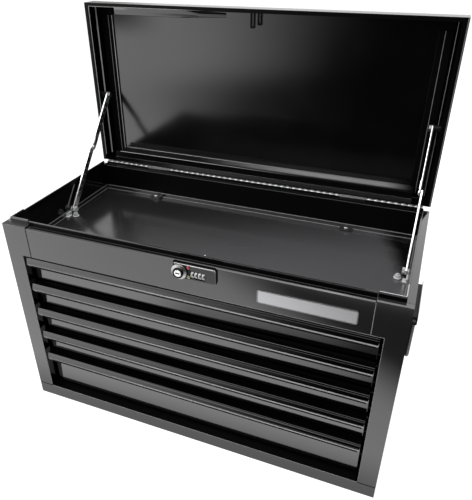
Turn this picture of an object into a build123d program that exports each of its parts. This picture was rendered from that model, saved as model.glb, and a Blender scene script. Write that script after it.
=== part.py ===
from build123d import *
import os
from math import atan2, degrees, hypot

os.makedirs("parts", exist_ok=True)

# Carcass: the origin is the middle of the base, +Z is up and the drawers face -Y
body_width = 660.0
body_depth = 305.0
body_height = 383.0
sheet = 1.2
seam_gap = 0.6
base_flange = 18.0
half_width = body_width / 2
inner_x = half_width - sheet
front_y = -body_depth / 2
back_y = body_depth / 2
sides = (("left", -1), ("right", 1))

# Front frame around the drawers
stile_width = 29.0
stile_head_width = 47.0
bottom_rail_height = 25.0
top_rail_height = 54.4
jamb_depth = 20.0
corner_raise = 2.0
ledge_z = body_height - corner_raise
top_rail_bottom = ledge_z - top_rail_height
opening_x = half_width - stile_width
head_x = half_width - stile_head_width
stile_bottom = bottom_rail_height + seam_gap
face_y = front_y + jamb_depth

# Ledge and raised rim that the lid closes over
ledge_width = 10.5
rim_rise = 9.0
rim_thickness = 2.4
rim_set_back = 12.0
corner_depth = 42.0
fold_radius = 0.8
rim_x = half_width - ledge_width
rim_inner_x = rim_x - rim_thickness
rim_front_y = front_y + ledge_width
rim_back_y = back_y - rim_set_back
corner_back_y = front_y + corner_depth
tray_front_y = rim_front_y + rim_thickness

# Open tray under the lid
tray_flange = 8.0
rear_ledge = 12.0
pad_set_in = 135.0
pad_width = 22.0
pad_depth = 14.0
pad_height = 4.0
bolt_radius = 4.5
bolt_height = 2.5
pad_x = half_width - pad_set_in
tray_under_z = top_rail_bottom + sheet
tray_floor_z = tray_under_z + sheet
tray_back_y = back_y - rear_ledge

# Drawers: a deep one at the bottom, and the shallow ones share the rest of the opening
drawer_side_gap = 5.5
drawer_gap = 2.0
first_gap = 3.0
top_gap = 4.6
deep_front = 82.0
shallow_count = 4
front_sheet = 1.5
pull_lean = 2.0
pull_upper = 9.0
pull_lip = 5.0
pull_corner = 4.5
box_side_drop = 10.0
box_floor_rise = 3.0
box_back_gap = 16.0
drawer_width = 2 * (opening_x - drawer_side_gap)
first_front_z = bottom_rail_height + first_gap
shallow_stack = top_rail_bottom - top_gap - first_front_z - deep_front
shallow_front = shallow_stack / shallow_count - drawer_gap
front_heights = [deep_front] + [shallow_front] * shallow_count

# Drawer runners: fixed channels on posts, and moving channels on the drawer boxes
slide_thickness = 13.0
channel_height = 34.0
channel_reach = 10.8
channel_start = 4.0
runner_clearance = 0.3
runner_reach = 10.8
runner_rise = 22.0
post_width = 20.0
front_post = 40.0
rear_post = 50.0
box_x = opening_x - slide_thickness
box_front_y = face_y + front_sheet
box_back_y = back_y - sheet - box_back_gap
channel_front_y = face_y + channel_start

# Lock on the top rail
lock_x = 0.0
lock_drop = 14.0
plate_left = 10.6
plate_width = 68.6
plate_height = 25.0
plate_depth = 4.0
plate_face = 1.5
plate_wall = 1.5
plate_corner = 3.0
plate_offset_z = 0.5
knob_radius = 12.6
knob_flange = 3.1
boss_radius = 8.4
knob_length = 7.4
knob_edge = 0.6
knob_gap = 0.4
shaft_radius = 6.0
shaft_tail = 4.0
running_gap = 0.05
free_gap = 0.5
cylinder_radius = 5.8
cylinder_length = 6.4
keyway_width = 1.2
keyway_height = 6.4
keyway_depth = 4.5
cam_length = 8.5
cam_width = 7.0
cam_thickness = 2.0
dial_count = 4
dial_radius = 7.0
dial_width = 4.6
dial_pitch = 5.9
dial_first_x = 20.6
dial_drop = 3.0
dial_set_in = 1.5
dial_axle_radius = 1.5
dial_cheek_gap = 1.0
case_margin = 2.4
case_bottom_drop = 2.0
case_back_gap = 0.3
dot_radius = 2.4
dot_height = 0.8
dot_x = 14.4
dot_offset_z = 8.2
badge_width = 143.0
badge_height = 22.0
badge_depth = 1.5
badge_corner = 3.0
badge_end_gap = 20.0
badge_drop = 30.5
badge_x = head_x - badge_end_gap - badge_width / 2
badge_z = ledge_z - badge_drop
lock_z = ledge_z - lock_drop
plate_x = lock_x - plate_left + plate_width / 2
plate_z = lock_z + plate_offset_z
plate_front_y = front_y - plate_depth
dial_y = front_y + dial_set_in
dial_z = lock_z - dial_drop
dial_mid_x = lock_x + dial_first_x + dial_pitch * (dial_count - 1) / 2
dial_span = dial_pitch * (dial_count - 1) + dial_width
cheek_x = dial_span / 2 + dial_cheek_gap

# Side drop handles
bracket_length = 95.0
bracket_height = 30.0
bracket_plate = 2.0
lug_length = 10.0
lug_height = 15.0
lug_reach = 11.0
lug_edge = 1.5
handle_drop = 93.0
bail_radius = 3.2
bail_pivot_radius = 2.6
bail_drop = 84.0
bail_bend = 12.0
bail_end_gap = 0.4
screw_radius = 3.0
screw_height = 1.0
screw_margin = 1.0
handle_z = body_height - handle_drop
roof_bottom = handle_z + bail_radius + bail_end_gap
roof_top = handle_z + lug_height / 2
bail_x = half_width + (bracket_plate + lug_reach) / 2
lug_inner_y = bracket_length / 2 - lug_length
bail_leg_y = lug_inner_y - bail_end_gap - bail_radius

# Continuous hinge between the rear ledge and the lid
hinge_end_gap = 12.0
hinge_offset = 3.5
leaf = 1.2
leaf_gap = 1.2
leaf_width = 11.0
leaf_root = 2.0
knuckle_radius = 3.2
knuckle_length = 5.7
knuckle_gap = 0.1
hinge_pin_radius = 1.5
sleeve_set_in = 121.0
sleeve_length = 48.0
hinge_half_length = half_width - hinge_end_gap
sleeve_x = hinge_half_length - sleeve_set_in
hinge_y = back_y + hinge_offset
hinge_z = ledge_z + leaf + leaf_gap / 2
knuckle_pitch = 2 * (knuckle_length + knuckle_gap)
knuckle_pairs = round(2 * hinge_half_length / knuckle_pitch)

# Lid, modelled standing open
lid_depth = 31.0
lid_front_setback = 2.5
lid_return = 6.5
lid_rear_return = 22.0
return_end_gap = 33.0
lid_corner = 2.5
stiffener_set_in = 17.0
stiffener_width = 23.0
stiffener_height = 3.0
stiffener_edge = 1.5
stiffener_end_gap = 10.0
stiffener_top_gap = 22.0
hook_offset = 4.0
hook_width = 10.0
hook_length = 27.0
hook_sheet = 1.5
hook_set_in = 9.0
hook_foot = 13.0
hook_slot_width = 4.0
hook_slot_length = 13.0
return_x = half_width - return_end_gap
lid_rim_y = hinge_y + leaf_gap / 2 + leaf
lid_back_y = lid_rim_y + lid_depth
lid_bottom_z = hinge_z + hinge_offset
lid_top_z = hinge_z + hinge_y - front_y - lid_front_setback
lid_mid_z = (lid_bottom_z + lid_top_z) / 2
lid_panel_y = lid_back_y - sheet

# Folding lid stays: one arm pivots on the tray wall, the other on the lid wall
stay_reach = 142.5
stay_pivot_rise = 8.0
lid_pivot_set_in = 12.7
lid_pivot_rise = 137.2
lower_arm_share = 0.539
arm_width = 12.0
arm_sheet = 2.5
arm_layer_gap = 0.3
arm_wall_gap = 3.4
stud_radius = 3.0
collar_radius = 5.0
nut_radius = 5.5
nut_height = 4.5
rivet_radius = 3.5
rivet_height = 1.5
stay_pivot_y = hinge_y - stay_reach
stay_pivot_z = tray_floor_z + stay_pivot_rise
lid_pivot_y = lid_rim_y + lid_pivot_set_in
lid_pivot_z = hinge_z + lid_pivot_rise
body_seat_x = rim_inner_x - sheet
lower_inner_x = body_seat_x - arm_wall_gap - arm_sheet
upper_inner_x = lower_inner_x - arm_layer_gap - arm_sheet
stay_rise = lid_pivot_z - stay_pivot_z
stay_run = lid_pivot_y - stay_pivot_y
stay_length = hypot(stay_run, stay_rise)
lower_length = lower_arm_share * stay_length
upper_length = stay_length - lower_length
stay_angle = degrees(atan2(stay_rise, stay_run))
knuckle_y = stay_pivot_y + lower_arm_share * stay_run
knuckle_z = stay_pivot_z + lower_arm_share * stay_rise

# Side panels with their ledge and raised rim
for side, sign in sides:
    with BuildPart() as side_panel:
        with BuildSketch(Plane.XZ.offset(-front_y - sheet)):
            with BuildLine():
                Polyline(
                    (sign * half_width, 0),
                    (sign * half_width, ledge_z),
                    (sign * rim_inner_x, ledge_z),
                    (sign * rim_inner_x, ledge_z - sheet),
                    (sign * inner_x, ledge_z - sheet),
                    (sign * inner_x, 0),
                    close=True,
                )
            make_face()
        extrude(amount=sheet - body_depth)
        with BuildSketch(Plane.XZ.offset(-corner_back_y)):
            with Locations((sign * (rim_x - rim_thickness / 2), ledge_z)):
                Rectangle(rim_thickness, rim_rise, align=(Align.CENTER, Align.MIN))
        extrude(amount=corner_back_y - rim_back_y)
    side_panel.part.label = f"side_panel_{side}"
    export_step(side_panel.part, f"parts/side_panel_{side}.step")

# Back panel with the rear ledge that carries the hinge
with BuildPart() as back_panel:
    with BuildSketch(Plane.XZ.offset(-back_y)):
        Rectangle(2 * inner_x, ledge_z - sheet, align=(Align.CENTER, Align.MIN))
    extrude(amount=sheet)
    with BuildSketch(Plane.XY.offset(ledge_z - sheet)):
        with Locations((0, back_y)):
            Rectangle(2 * rim_inner_x, rear_ledge, align=(Align.CENTER, Align.MAX))
    extrude(amount=sheet)
back_panel.part.label = "back_panel"
export_step(back_panel.part, "parts/back_panel.step")

# Base pan with upturned flanges against the sides and the back
with BuildPart() as base_pan:
    with BuildSketch(Plane.XY):
        with Locations((0, front_y + sheet)):
            Rectangle(2 * inner_x, body_depth - 2 * sheet, align=(Align.CENTER, Align.MIN))
    extrude(amount=base_flange)
    with BuildSketch(Plane.XY.offset(sheet)):
        with Locations((0, front_y)):
            Rectangle(2 * (inner_x - sheet), body_depth - 2 * sheet, align=(Align.CENTER, Align.MIN))
    extrude(amount=base_flange, mode=Mode.SUBTRACT)
base_pan.part.label = "base_pan"
export_step(base_pan.part, "parts/base_pan.step")

# Corner stiles: face, jamb beside the drawers, and the raised corner of the ledge and rim
for side, sign in sides:
    with BuildPart() as stile:
        with BuildSketch(Plane.XZ.offset(-front_y)):
            with BuildLine():
                Polyline(
                    (sign * half_width, stile_bottom),
                    (sign * half_width, body_height),
                    (sign * head_x, body_height),
                    (sign * head_x, top_rail_bottom),
                    (sign * opening_x, top_rail_bottom),
                    (sign * opening_x, stile_bottom),
                    close=True,
                )
            make_face()
        extrude(amount=-sheet)
        with BuildSketch(Plane.XY.offset(stile_bottom)):
            with Locations((sign * (opening_x + sheet / 2), front_y + sheet)):
                Rectangle(sheet, jamb_depth - sheet, align=(Align.CENTER, Align.MIN))
        extrude(amount=top_rail_bottom - stile_bottom + sheet)
        with BuildSketch(Plane.XY.offset(top_rail_bottom)):
            with Locations((sign * (head_x + opening_x) / 2, front_y + sheet)):
                Rectangle(opening_x - head_x, jamb_depth - sheet, align=(Align.CENTER, Align.MIN))
        extrude(amount=sheet)
        with BuildSketch(Plane.XY.offset(ledge_z)):
            with BuildLine():
                Polyline(
                    (sign * head_x, front_y + sheet),
                    (sign * half_width, front_y + sheet),
                    (sign * half_width, corner_back_y),
                    (sign * rim_inner_x, corner_back_y),
                    (sign * rim_inner_x, tray_front_y),
                    (sign * head_x, tray_front_y),
                    close=True,
                )
            make_face()
        extrude(amount=corner_raise)
        with BuildSketch(Plane.XY.offset(body_height)):
            with BuildLine():
                Polyline(
                    (sign * head_x, rim_front_y),
                    (sign * rim_x, rim_front_y),
                    (sign * rim_x, corner_back_y),
                    (sign * rim_inner_x, corner_back_y),
                    (sign * rim_inner_x, tray_front_y),
                    (sign * head_x, tray_front_y),
                    close=True,
                )
            make_face()
        extrude(amount=rim_rise)
        top_front = stile.edges().filter_by(Axis.X).filter_by_position(Axis.Y, front_y, front_y)
        fillet(top_front.sort_by(Axis.Z)[-1], radius=fold_radius)
    stile.part.label = f"stile_{side}"
    export_step(stile.part, f"parts/stile_{side}.step")

# Top rail, folded from one sheet, with the holes for the lock
with BuildPart() as top_rail:
    with BuildSketch(Plane.YZ):
        with BuildLine():
            Polyline(
                (front_y, top_rail_bottom),
                (front_y, ledge_z),
                (rim_front_y, ledge_z),
                (rim_front_y, ledge_z + rim_rise),
                (tray_front_y, ledge_z + rim_rise),
                (tray_front_y, ledge_z - sheet),
                (front_y + sheet, ledge_z - sheet),
                (front_y + sheet, tray_under_z),
                (face_y, tray_under_z),
                (face_y, top_rail_bottom),
                close=True,
            )
        make_face()
    extrude(amount=head_x - seam_gap, both=True)
    front_edges = top_rail.edges().filter_by(Axis.X).filter_by_position(Axis.Y, front_y, front_y)
    fillet(front_edges.sort_by(Axis.Z)[-1], radius=fold_radius)
    with BuildSketch(Plane.XZ.offset(-front_y)):
        with Locations((lock_x, lock_z)):
            Circle(shaft_radius + free_gap)
        with Locations((dial_mid_x, dial_z)):
            Rectangle(2 * (cheek_x + sheet + free_gap), 2 * (dial_radius + free_gap))
    extrude(amount=-sheet, mode=Mode.SUBTRACT)
top_rail.part.label = "top_rail"
export_step(top_rail.part, "parts/top_rail.step")

# Bottom rail with the shelf in front of the lowest drawer
with BuildPart() as bottom_rail:
    with BuildSketch(Plane.XZ.offset(-front_y)):
        Rectangle(body_width, bottom_rail_height, align=(Align.CENTER, Align.MIN))
    extrude(amount=-sheet)
    with BuildSketch(Plane.XY.offset(bottom_rail_height - sheet)):
        with Locations((0, front_y + sheet)):
            Rectangle(2 * inner_x, jamb_depth - sheet, align=(Align.CENTER, Align.MIN))
    extrude(amount=sheet)
    shelf_edges = bottom_rail.edges().filter_by(Axis.X).filter_by_position(Axis.Y, front_y, front_y)
    fillet(shelf_edges.sort_by(Axis.Z)[-1], radius=fold_radius)
bottom_rail.part.label = "bottom_rail"
export_step(bottom_rail.part, "parts/bottom_rail.step")

# Tray walls inside the rim, and the floor pan with its upturned flange
tray_length = tray_back_y - tray_front_y
tray_mid_y = (tray_front_y + tray_back_y) / 2
with BuildPart() as tray_walls:
    with BuildSketch(Plane.XY.offset(tray_under_z)):
        with Locations((0, tray_mid_y)):
            Rectangle(2 * (rim_inner_x + sheet), tray_length + 2 * sheet)
            Rectangle(2 * rim_inner_x, tray_length, mode=Mode.SUBTRACT)
    extrude(amount=ledge_z - sheet - tray_under_z)
tray_walls.part.label = "tray_walls"
export_step(tray_walls.part, "parts/tray_walls.step")

with BuildPart() as tray_floor:
    with BuildSketch(Plane.XY.offset(tray_under_z)):
        with Locations((0, tray_mid_y)):
            Rectangle(2 * rim_inner_x, tray_length)
    extrude(amount=sheet + tray_flange)
    with BuildSketch(Plane.XY.offset(tray_floor_z)):
        with Locations((0, tray_mid_y)):
            Rectangle(2 * (rim_inner_x - sheet), tray_length - 2 * sheet)
    extrude(amount=tray_flange, mode=Mode.SUBTRACT)
tray_floor.part.label = "tray_floor"
export_step(tray_floor.part, "parts/tray_floor.step")

# Two pads with bolts that hold the tray floor at the back
pad_y = tray_back_y - sheet - pad_depth / 2
with BuildPart() as tray_pads:
    with BuildSketch(Plane.XY.offset(tray_floor_z)):
        with Locations((-pad_x, pad_y), (pad_x, pad_y)):
            Rectangle(pad_width, pad_depth)
    extrude(amount=pad_height)
tray_pads.part.label = "tray_pads"
export_step(tray_pads.part, "parts/tray_pads.step")

with BuildPart() as tray_bolts:
    with BuildSketch(Plane.XY.offset(tray_floor_z + pad_height)):
        with Locations((-pad_x, pad_y), (pad_x, pad_y)):
            Circle(bolt_radius)
    extrude(amount=bolt_height)
    fillet(tray_bolts.edges().group_by(Axis.Z)[-1], radius=bolt_height / 2)
tray_bolts.part.label = "tray_bolts"
export_step(tray_bolts.part, "parts/tray_bolts.step")

# Drawers from the bottom up: front with its pull, box, and moving runner channels
runner_heights = []
front_z = first_front_z
for number, front_height in enumerate(front_heights, start=1):
    front_top = front_z + front_height
    with BuildPart() as drawer_front:
        with BuildSketch(Plane.YZ):
            with BuildLine():
                Polyline(
                    (box_front_y, front_z),
                    (box_front_y, front_top),
                    (front_y + pull_lean, front_top),
                    (front_y, front_top - pull_upper),
                    (front_y, front_top - pull_upper - pull_lip),
                    (front_y + front_sheet, front_top - pull_upper - pull_lip),
                    (front_y + front_sheet, front_top - pull_upper),
                    (front_y + pull_lean + front_sheet, front_top - front_sheet),
                    (face_y, front_top - front_sheet),
                    (face_y, front_z),
                    close=True,
                )
            make_face()
        extrude(amount=drawer_width / 2, both=True)
        lip_ends = drawer_front.edges().filter_by(Axis.Y).group_by(Axis.Y)[0]
        fillet(lip_ends, radius=pull_corner)
    drawer_front.part.label = f"drawer_front_{number}"
    export_step(drawer_front.part, f"parts/drawer_front_{number}.step")

    box_floor_z = front_z + box_floor_rise
    box_top_z = front_top - box_side_drop
    with BuildPart() as drawer_box:
        with BuildSketch(Plane.XY.offset(box_floor_z)):
            with Locations((0, box_front_y)):
                Rectangle(2 * box_x, box_back_y - box_front_y, align=(Align.CENTER, Align.MIN))
        extrude(amount=box_top_z - box_floor_z)
        offset(amount=-sheet, openings=drawer_box.faces().sort_by(Axis.Z)[-1])
    drawer_box.part.label = f"drawer_box_{number}"
    export_step(drawer_box.part, f"parts/drawer_box_{number}.step")

    runner_z = front_z + runner_rise
    runner_heights.append(runner_z)
    runner_height = channel_height - 2 * (sheet + runner_clearance)
    with BuildPart() as runner:
        with BuildSketch(Plane.XZ.offset(-channel_front_y)):
            for side, sign in sides:
                with Locations((sign * (box_x + runner_reach / 2), runner_z)):
                    Rectangle(runner_reach, runner_height)
                with Locations((sign * (box_x + sheet + runner_reach / 2), runner_z)):
                    Rectangle(runner_reach, runner_height - 2 * sheet, mode=Mode.SUBTRACT)
        extrude(amount=channel_front_y - box_back_y)
    runner.part.label = f"drawer_runner_{number}"
    export_step(runner.part, f"parts/drawer_runner_{number}.step")
    front_z = front_top + drawer_gap

# Fixed runner racks: two posts on each side carry one channel per drawer
for side, sign in sides:
    with BuildPart() as rack:
        with BuildSketch(Plane.XY.offset(base_flange)):
            for post_y in (front_y + front_post, back_y - rear_post):
                with Locations((sign * (opening_x + inner_x) / 2, post_y)):
                    Rectangle(inner_x - opening_x, post_width)
                with Locations((sign * (opening_x + inner_x) / 2 + sign * sheet, post_y)):
                    Rectangle(inner_x - opening_x, post_width - 2 * sheet, mode=Mode.SUBTRACT)
        extrude(amount=tray_under_z - base_flange)
        with BuildSketch(Plane.XZ.offset(-channel_front_y)):
            for runner_z in runner_heights:
                with Locations((sign * (opening_x - channel_reach / 2), runner_z)):
                    Rectangle(channel_reach, channel_height)
                with Locations((sign * (opening_x - sheet - channel_reach / 2), runner_z)):
                    Rectangle(channel_reach, channel_height - 2 * sheet, mode=Mode.SUBTRACT)
        extrude(amount=channel_front_y - box_back_y)
    rack.part.label = f"runner_rack_{side}"
    export_step(rack.part, f"parts/runner_rack_{side}.step")

# Lock: cover plate, case with the dial axle, knob, key cylinder and cam
with BuildPart() as lock_plate:
    with BuildSketch(Plane.XZ.offset(-front_y)):
        with Locations((plate_x, plate_z)):
            RectangleRounded(plate_width, plate_height, plate_corner)
    extrude(amount=plate_depth)
    with BuildSketch(Plane.XZ.offset(-front_y)):
        with Locations((plate_x, plate_z)):
            Rectangle(plate_width - 2 * plate_wall, plate_height - 2 * plate_wall)
    extrude(amount=plate_depth - plate_face, mode=Mode.SUBTRACT)
    with BuildSketch(Plane.XZ.offset(-front_y)):
        with Locations((lock_x, lock_z)):
            Circle(shaft_radius + running_gap)
        with Locations((dial_mid_x, dial_z)):
            with GridLocations(dial_pitch, 0, dial_count, 1):
                Rectangle(dial_width + 2 * free_gap, 2 * (dial_radius - free_gap))
    extrude(amount=plate_depth, mode=Mode.SUBTRACT)
lock_plate.part.label = "lock_plate"
export_step(lock_plate.part, "parts/lock_plate.step")

case_left = plate_x - plate_width / 2 - case_margin
case_width = plate_width + 2 * case_margin
case_bottom = plate_z - plate_height / 2 - case_bottom_drop
case_height = ledge_z - sheet - seam_gap - case_bottom
case_back_y = tray_front_y - sheet - case_back_gap
with BuildPart() as lock_case:
    with BuildSketch(Plane.XZ.offset(-front_y - sheet)):
        with Locations((case_left, case_bottom)):
            Rectangle(case_width, case_height, align=(Align.MIN, Align.MIN))
    extrude(amount=front_y + sheet - case_back_y)
    offset(amount=-sheet, openings=lock_case.faces().sort_by(Axis.Y)[0])
    for cheek in (-1, 1):
        with BuildSketch(Plane.YZ.offset(dial_mid_x + cheek * (cheek_x + sheet / 2))):
            with Locations((dial_y, dial_z)):
                Circle(2 * dial_axle_radius)
                tail = case_back_y - sheet / 2 - dial_y
                Rectangle(tail, 4 * dial_axle_radius, align=(Align.MIN, Align.CENTER))
        extrude(amount=sheet / 2, both=True)
    with BuildSketch(Plane.YZ.offset(dial_mid_x)):
        with Locations((dial_y, dial_z)):
            Circle(dial_axle_radius)
    extrude(amount=cheek_x + sheet, both=True)
lock_case.part.label = "lock_case"
export_step(lock_case.part, "parts/lock_case.step")

for number in range(dial_count):
    with BuildPart() as dial:
        with BuildSketch(Plane.YZ.offset(lock_x + dial_first_x + number * dial_pitch)):
            with Locations((dial_y, dial_z)):
                Circle(dial_radius)
                Circle(dial_axle_radius + running_gap, mode=Mode.SUBTRACT)
        extrude(amount=dial_width / 2, both=True)
    dial.part.label = f"dial_{number + 1}"
    export_step(dial.part, f"parts/dial_{number + 1}.step")

knob_back_y = plate_front_y - knob_gap
knob_front_y = knob_back_y - knob_length
shaft_end_y = front_y + shaft_tail
with BuildPart() as lock_knob:
    with BuildSketch(Plane.XZ.offset(-knob_back_y)):
        with Locations((lock_x, lock_z)):
            Circle(knob_radius)
    extrude(amount=knob_flange)
    chamfer(lock_knob.edges().group_by(Axis.Y)[0], length=knob_edge)
    with BuildSketch(Plane.XZ.offset(-knob_back_y)):
        with Locations((lock_x, lock_z)):
            Circle(boss_radius)
    extrude(amount=knob_length)
    chamfer(lock_knob.edges().group_by(Axis.Y)[0], length=knob_edge)
    with BuildSketch(Plane.XZ.offset(-shaft_end_y)):
        with Locations((lock_x, lock_z)):
            Circle(shaft_radius)
    extrude(amount=shaft_end_y - knob_back_y)
    with BuildSketch(Plane.XZ.offset(-knob_front_y)):
        with Locations((lock_x, lock_z)):
            Circle(cylinder_radius + running_gap)
    extrude(amount=-cylinder_length, mode=Mode.SUBTRACT)
lock_knob.part.label = "lock_knob"
export_step(lock_knob.part, "parts/lock_knob.step")

with BuildPart() as key_cylinder:
    with BuildSketch(Plane.XZ.offset(-knob_front_y)):
        with Locations((lock_x, lock_z)):
            Circle(cylinder_radius)
    extrude(amount=running_gap - cylinder_length)
    with BuildSketch(Plane.XZ.offset(-knob_front_y)):
        with Locations((lock_x, lock_z)):
            Rectangle(keyway_width, keyway_height)
    extrude(amount=-keyway_depth, mode=Mode.SUBTRACT)
key_cylinder.part.label = "key_cylinder"
export_step(key_cylinder.part, "parts/key_cylinder.step")

with BuildPart() as lock_cam:
    with BuildSketch(Plane.XZ.offset(-shaft_end_y)):
        with Locations((lock_x, lock_z)):
            Circle(shaft_radius)
            Rectangle(cam_length, cam_width, align=(Align.MAX, Align.CENTER))
    extrude(amount=-cam_thickness)
lock_cam.part.label = "lock_cam"
export_step(lock_cam.part, "parts/lock_cam.step")

# Coloured position dots beside the knob
for colour, side in (("red", 1), ("green", -1)):
    with BuildPart() as dot:
        with BuildSketch(Plane.XZ.offset(-plate_front_y)):
            with Locations((lock_x + dot_x, plate_z + side * dot_offset_z)):
                Circle(dot_radius)
        extrude(amount=dot_height)
        fillet(dot.edges().group_by(Axis.Y)[0], radius=dot_height / 2)
    dot.part.label = f"{colour}_dot"
    export_step(dot.part, f"parts/{colour}_dot.step")

# Bare badge plate
with BuildPart() as badge_plate:
    with BuildSketch(Plane.XZ.offset(-front_y)):
        with Locations((badge_x, badge_z)):
            RectangleRounded(badge_width, badge_height, badge_corner)
    extrude(amount=badge_depth)
badge_plate.part.label = "badge_plate"
export_step(badge_plate.part, "parts/badge_plate.step")

# Side handles: bracket with two lugs under a roof, hanging bail and screws
for side, sign in sides:
    with BuildPart() as bracket:
        with BuildSketch(Plane.YZ.offset(sign * half_width)):
            with Locations((0, handle_z)):
                RectangleRounded(bracket_length, bracket_height, lug_length / 2)
        extrude(amount=sign * bracket_plate)
        with BuildSketch(Plane.YZ.offset(sign * (half_width + bracket_plate))):
            for end in (-1, 1):
                with Locations((end * (bracket_length - lug_length) / 2, handle_z)):
                    Rectangle(lug_length, lug_height)
            with Locations((0, roof_bottom)):
                Rectangle(bracket_length, roof_top - roof_bottom, align=(Align.CENTER, Align.MIN))
        extrude(amount=sign * (lug_reach - bracket_plate))
        lug_ends = bracket.edges().filter_by(Axis.Y).sort_by(Axis.X)
        fillet(lug_ends[-4:] if sign > 0 else lug_ends[:4], radius=lug_edge)
        with BuildSketch(Plane.XZ):
            with Locations((sign * bail_x, handle_z)):
                Circle(bail_pivot_radius + running_gap)
        extrude(amount=bracket_length, both=True, mode=Mode.SUBTRACT)
    bracket.part.label = f"handle_bracket_{side}"
    export_step(bracket.part, f"parts/handle_bracket_{side}.step")

    with BuildPart() as bail:
        with BuildLine(Plane.YZ.offset(sign * bail_x)) as bail_path:
            FilletPolyline(
                (-bail_leg_y, handle_z),
                (-bail_leg_y, handle_z - bail_drop),
                (bail_leg_y, handle_z - bail_drop),
                (bail_leg_y, handle_z),
                radius=bail_bend,
            )
        with BuildSketch(Plane.XY.offset(handle_z)):
            with Locations((sign * bail_x, -bail_leg_y)):
                Circle(bail_radius)
        sweep(path=bail_path.line)
        with Locations((sign * bail_x, -bail_leg_y, handle_z), (sign * bail_x, bail_leg_y, handle_z)):
            Sphere(bail_radius)
        for end in (-1, 1):
            with BuildSketch(Plane.XZ.offset(-end * bail_leg_y)):
                with Locations((sign * bail_x, handle_z)):
                    Circle(bail_pivot_radius)
            extrude(amount=-end * (bracket_length / 2 - bail_leg_y))
    bail.part.label = f"handle_bail_{side}"
    export_step(bail.part, f"parts/handle_bail_{side}.step")

screw_y = lug_inner_y - 2 * lug_length
screw_z = bracket_height / 2 - screw_radius - screw_margin
with BuildPart() as handle_screws:
    for side, sign in sides:
        with BuildSketch(Plane.YZ.offset(sign * (half_width + bracket_plate))):
            with Locations((0, handle_z)):
                with GridLocations(2 * screw_y, 2 * screw_z, 2, 2):
                    Circle(screw_radius)
        extrude(amount=sign * screw_height)
handle_screws.part.label = "handle_screws"
export_step(handle_screws.part, "parts/handle_screws.step")

# Continuous hinge: body leaf on the rear ledge, lid leaf standing on the open lid, and the pin
sleeve_gap = sleeve_length + 2 * knuckle_gap
with BuildPart() as hinge_body_leaf:
    with BuildSketch(Plane.XY.offset(ledge_z)):
        with Locations((0, back_y - leaf_width)):
            Rectangle(2 * hinge_half_length, leaf_width + leaf_root, align=(Align.CENTER, Align.MIN))
    extrude(amount=leaf)
    with BuildSketch(Plane.YZ):
        with Locations((hinge_y, hinge_z)):
            Circle(knuckle_radius)
    extrude(amount=hinge_half_length, both=True)
    with BuildSketch(Plane.YZ):
        with Locations((hinge_y, hinge_z)):
            Circle(hinge_pin_radius + running_gap)
    extrude(amount=hinge_half_length, both=True, mode=Mode.SUBTRACT)
    with BuildSketch(Plane.XY.offset(hinge_z)):
        with Locations((0, hinge_y)):
            with GridLocations(knuckle_pitch, 0, knuckle_pairs, 1):
                Rectangle(knuckle_length + 2 * knuckle_gap, 2 * (knuckle_radius + knuckle_gap))
        with Locations((-sleeve_x, hinge_y), (sleeve_x, hinge_y)):
            Rectangle(sleeve_gap, 2 * (knuckle_radius + knuckle_gap))
    extrude(amount=2 * knuckle_radius, both=True, mode=Mode.SUBTRACT)
hinge_body_leaf.part.label = "hinge_body_leaf"
export_step(hinge_body_leaf.part, "parts/hinge_body_leaf.step")

with BuildPart() as hinge_lid_leaf:
    with BuildSketch(Plane.XZ.offset(-lid_rim_y)):
        with Locations((0, lid_bottom_z - leaf_root)):
            Rectangle(2 * hinge_half_length, leaf_root + sheet, align=(Align.CENTER, Align.MIN))
            Rectangle(2 * return_x, leaf_width + leaf_root, align=(Align.CENTER, Align.MIN))
    extrude(amount=leaf)
    with BuildSketch(Plane.YZ):
        with Locations((hinge_y, hinge_z)):
            Circle(knuckle_radius)
    extrude(amount=hinge_half_length, both=True)
    with BuildSketch(Plane.YZ):
        with Locations((hinge_y, hinge_z)):
            Circle(hinge_pin_radius + running_gap)
    extrude(amount=hinge_half_length, both=True, mode=Mode.SUBTRACT)
    with BuildSketch(Plane.XZ.offset(-hinge_y)):
        with Locations((0, hinge_z)):
            with GridLocations(knuckle_pitch, 0, knuckle_pairs + 1, 1):
                Rectangle(knuckle_length + 2 * knuckle_gap, 2 * (knuckle_radius + knuckle_gap))
        with Locations((-sleeve_x, hinge_z), (sleeve_x, hinge_z)):
            Rectangle(sleeve_gap, 2 * (knuckle_radius + knuckle_gap))
    extrude(amount=2 * knuckle_radius, both=True, mode=Mode.SUBTRACT)
hinge_lid_leaf.part.label = "hinge_lid_leaf"
export_step(hinge_lid_leaf.part, "parts/hinge_lid_leaf.step")

with BuildPart() as hinge_pin:
    with BuildSketch(Plane.YZ):
        with Locations((hinge_y, hinge_z)):
            Circle(hinge_pin_radius)
    extrude(amount=hinge_half_length, both=True)
hinge_pin.part.label = "hinge_pin"
export_step(hinge_pin.part, "parts/hinge_pin.step")

with BuildPart() as hinge_sleeves:
    for side, sign in sides:
        with BuildSketch(Plane.YZ.offset(sign * sleeve_x)):
            with Locations((hinge_y, hinge_z)):
                Circle(knuckle_radius)
                Circle(hinge_pin_radius + running_gap, mode=Mode.SUBTRACT)
        extrude(amount=sleeve_length / 2, both=True)
hinge_sleeves.part.label = "hinge_sleeves"
export_step(hinge_sleeves.part, "parts/hinge_sleeves.step")

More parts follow.
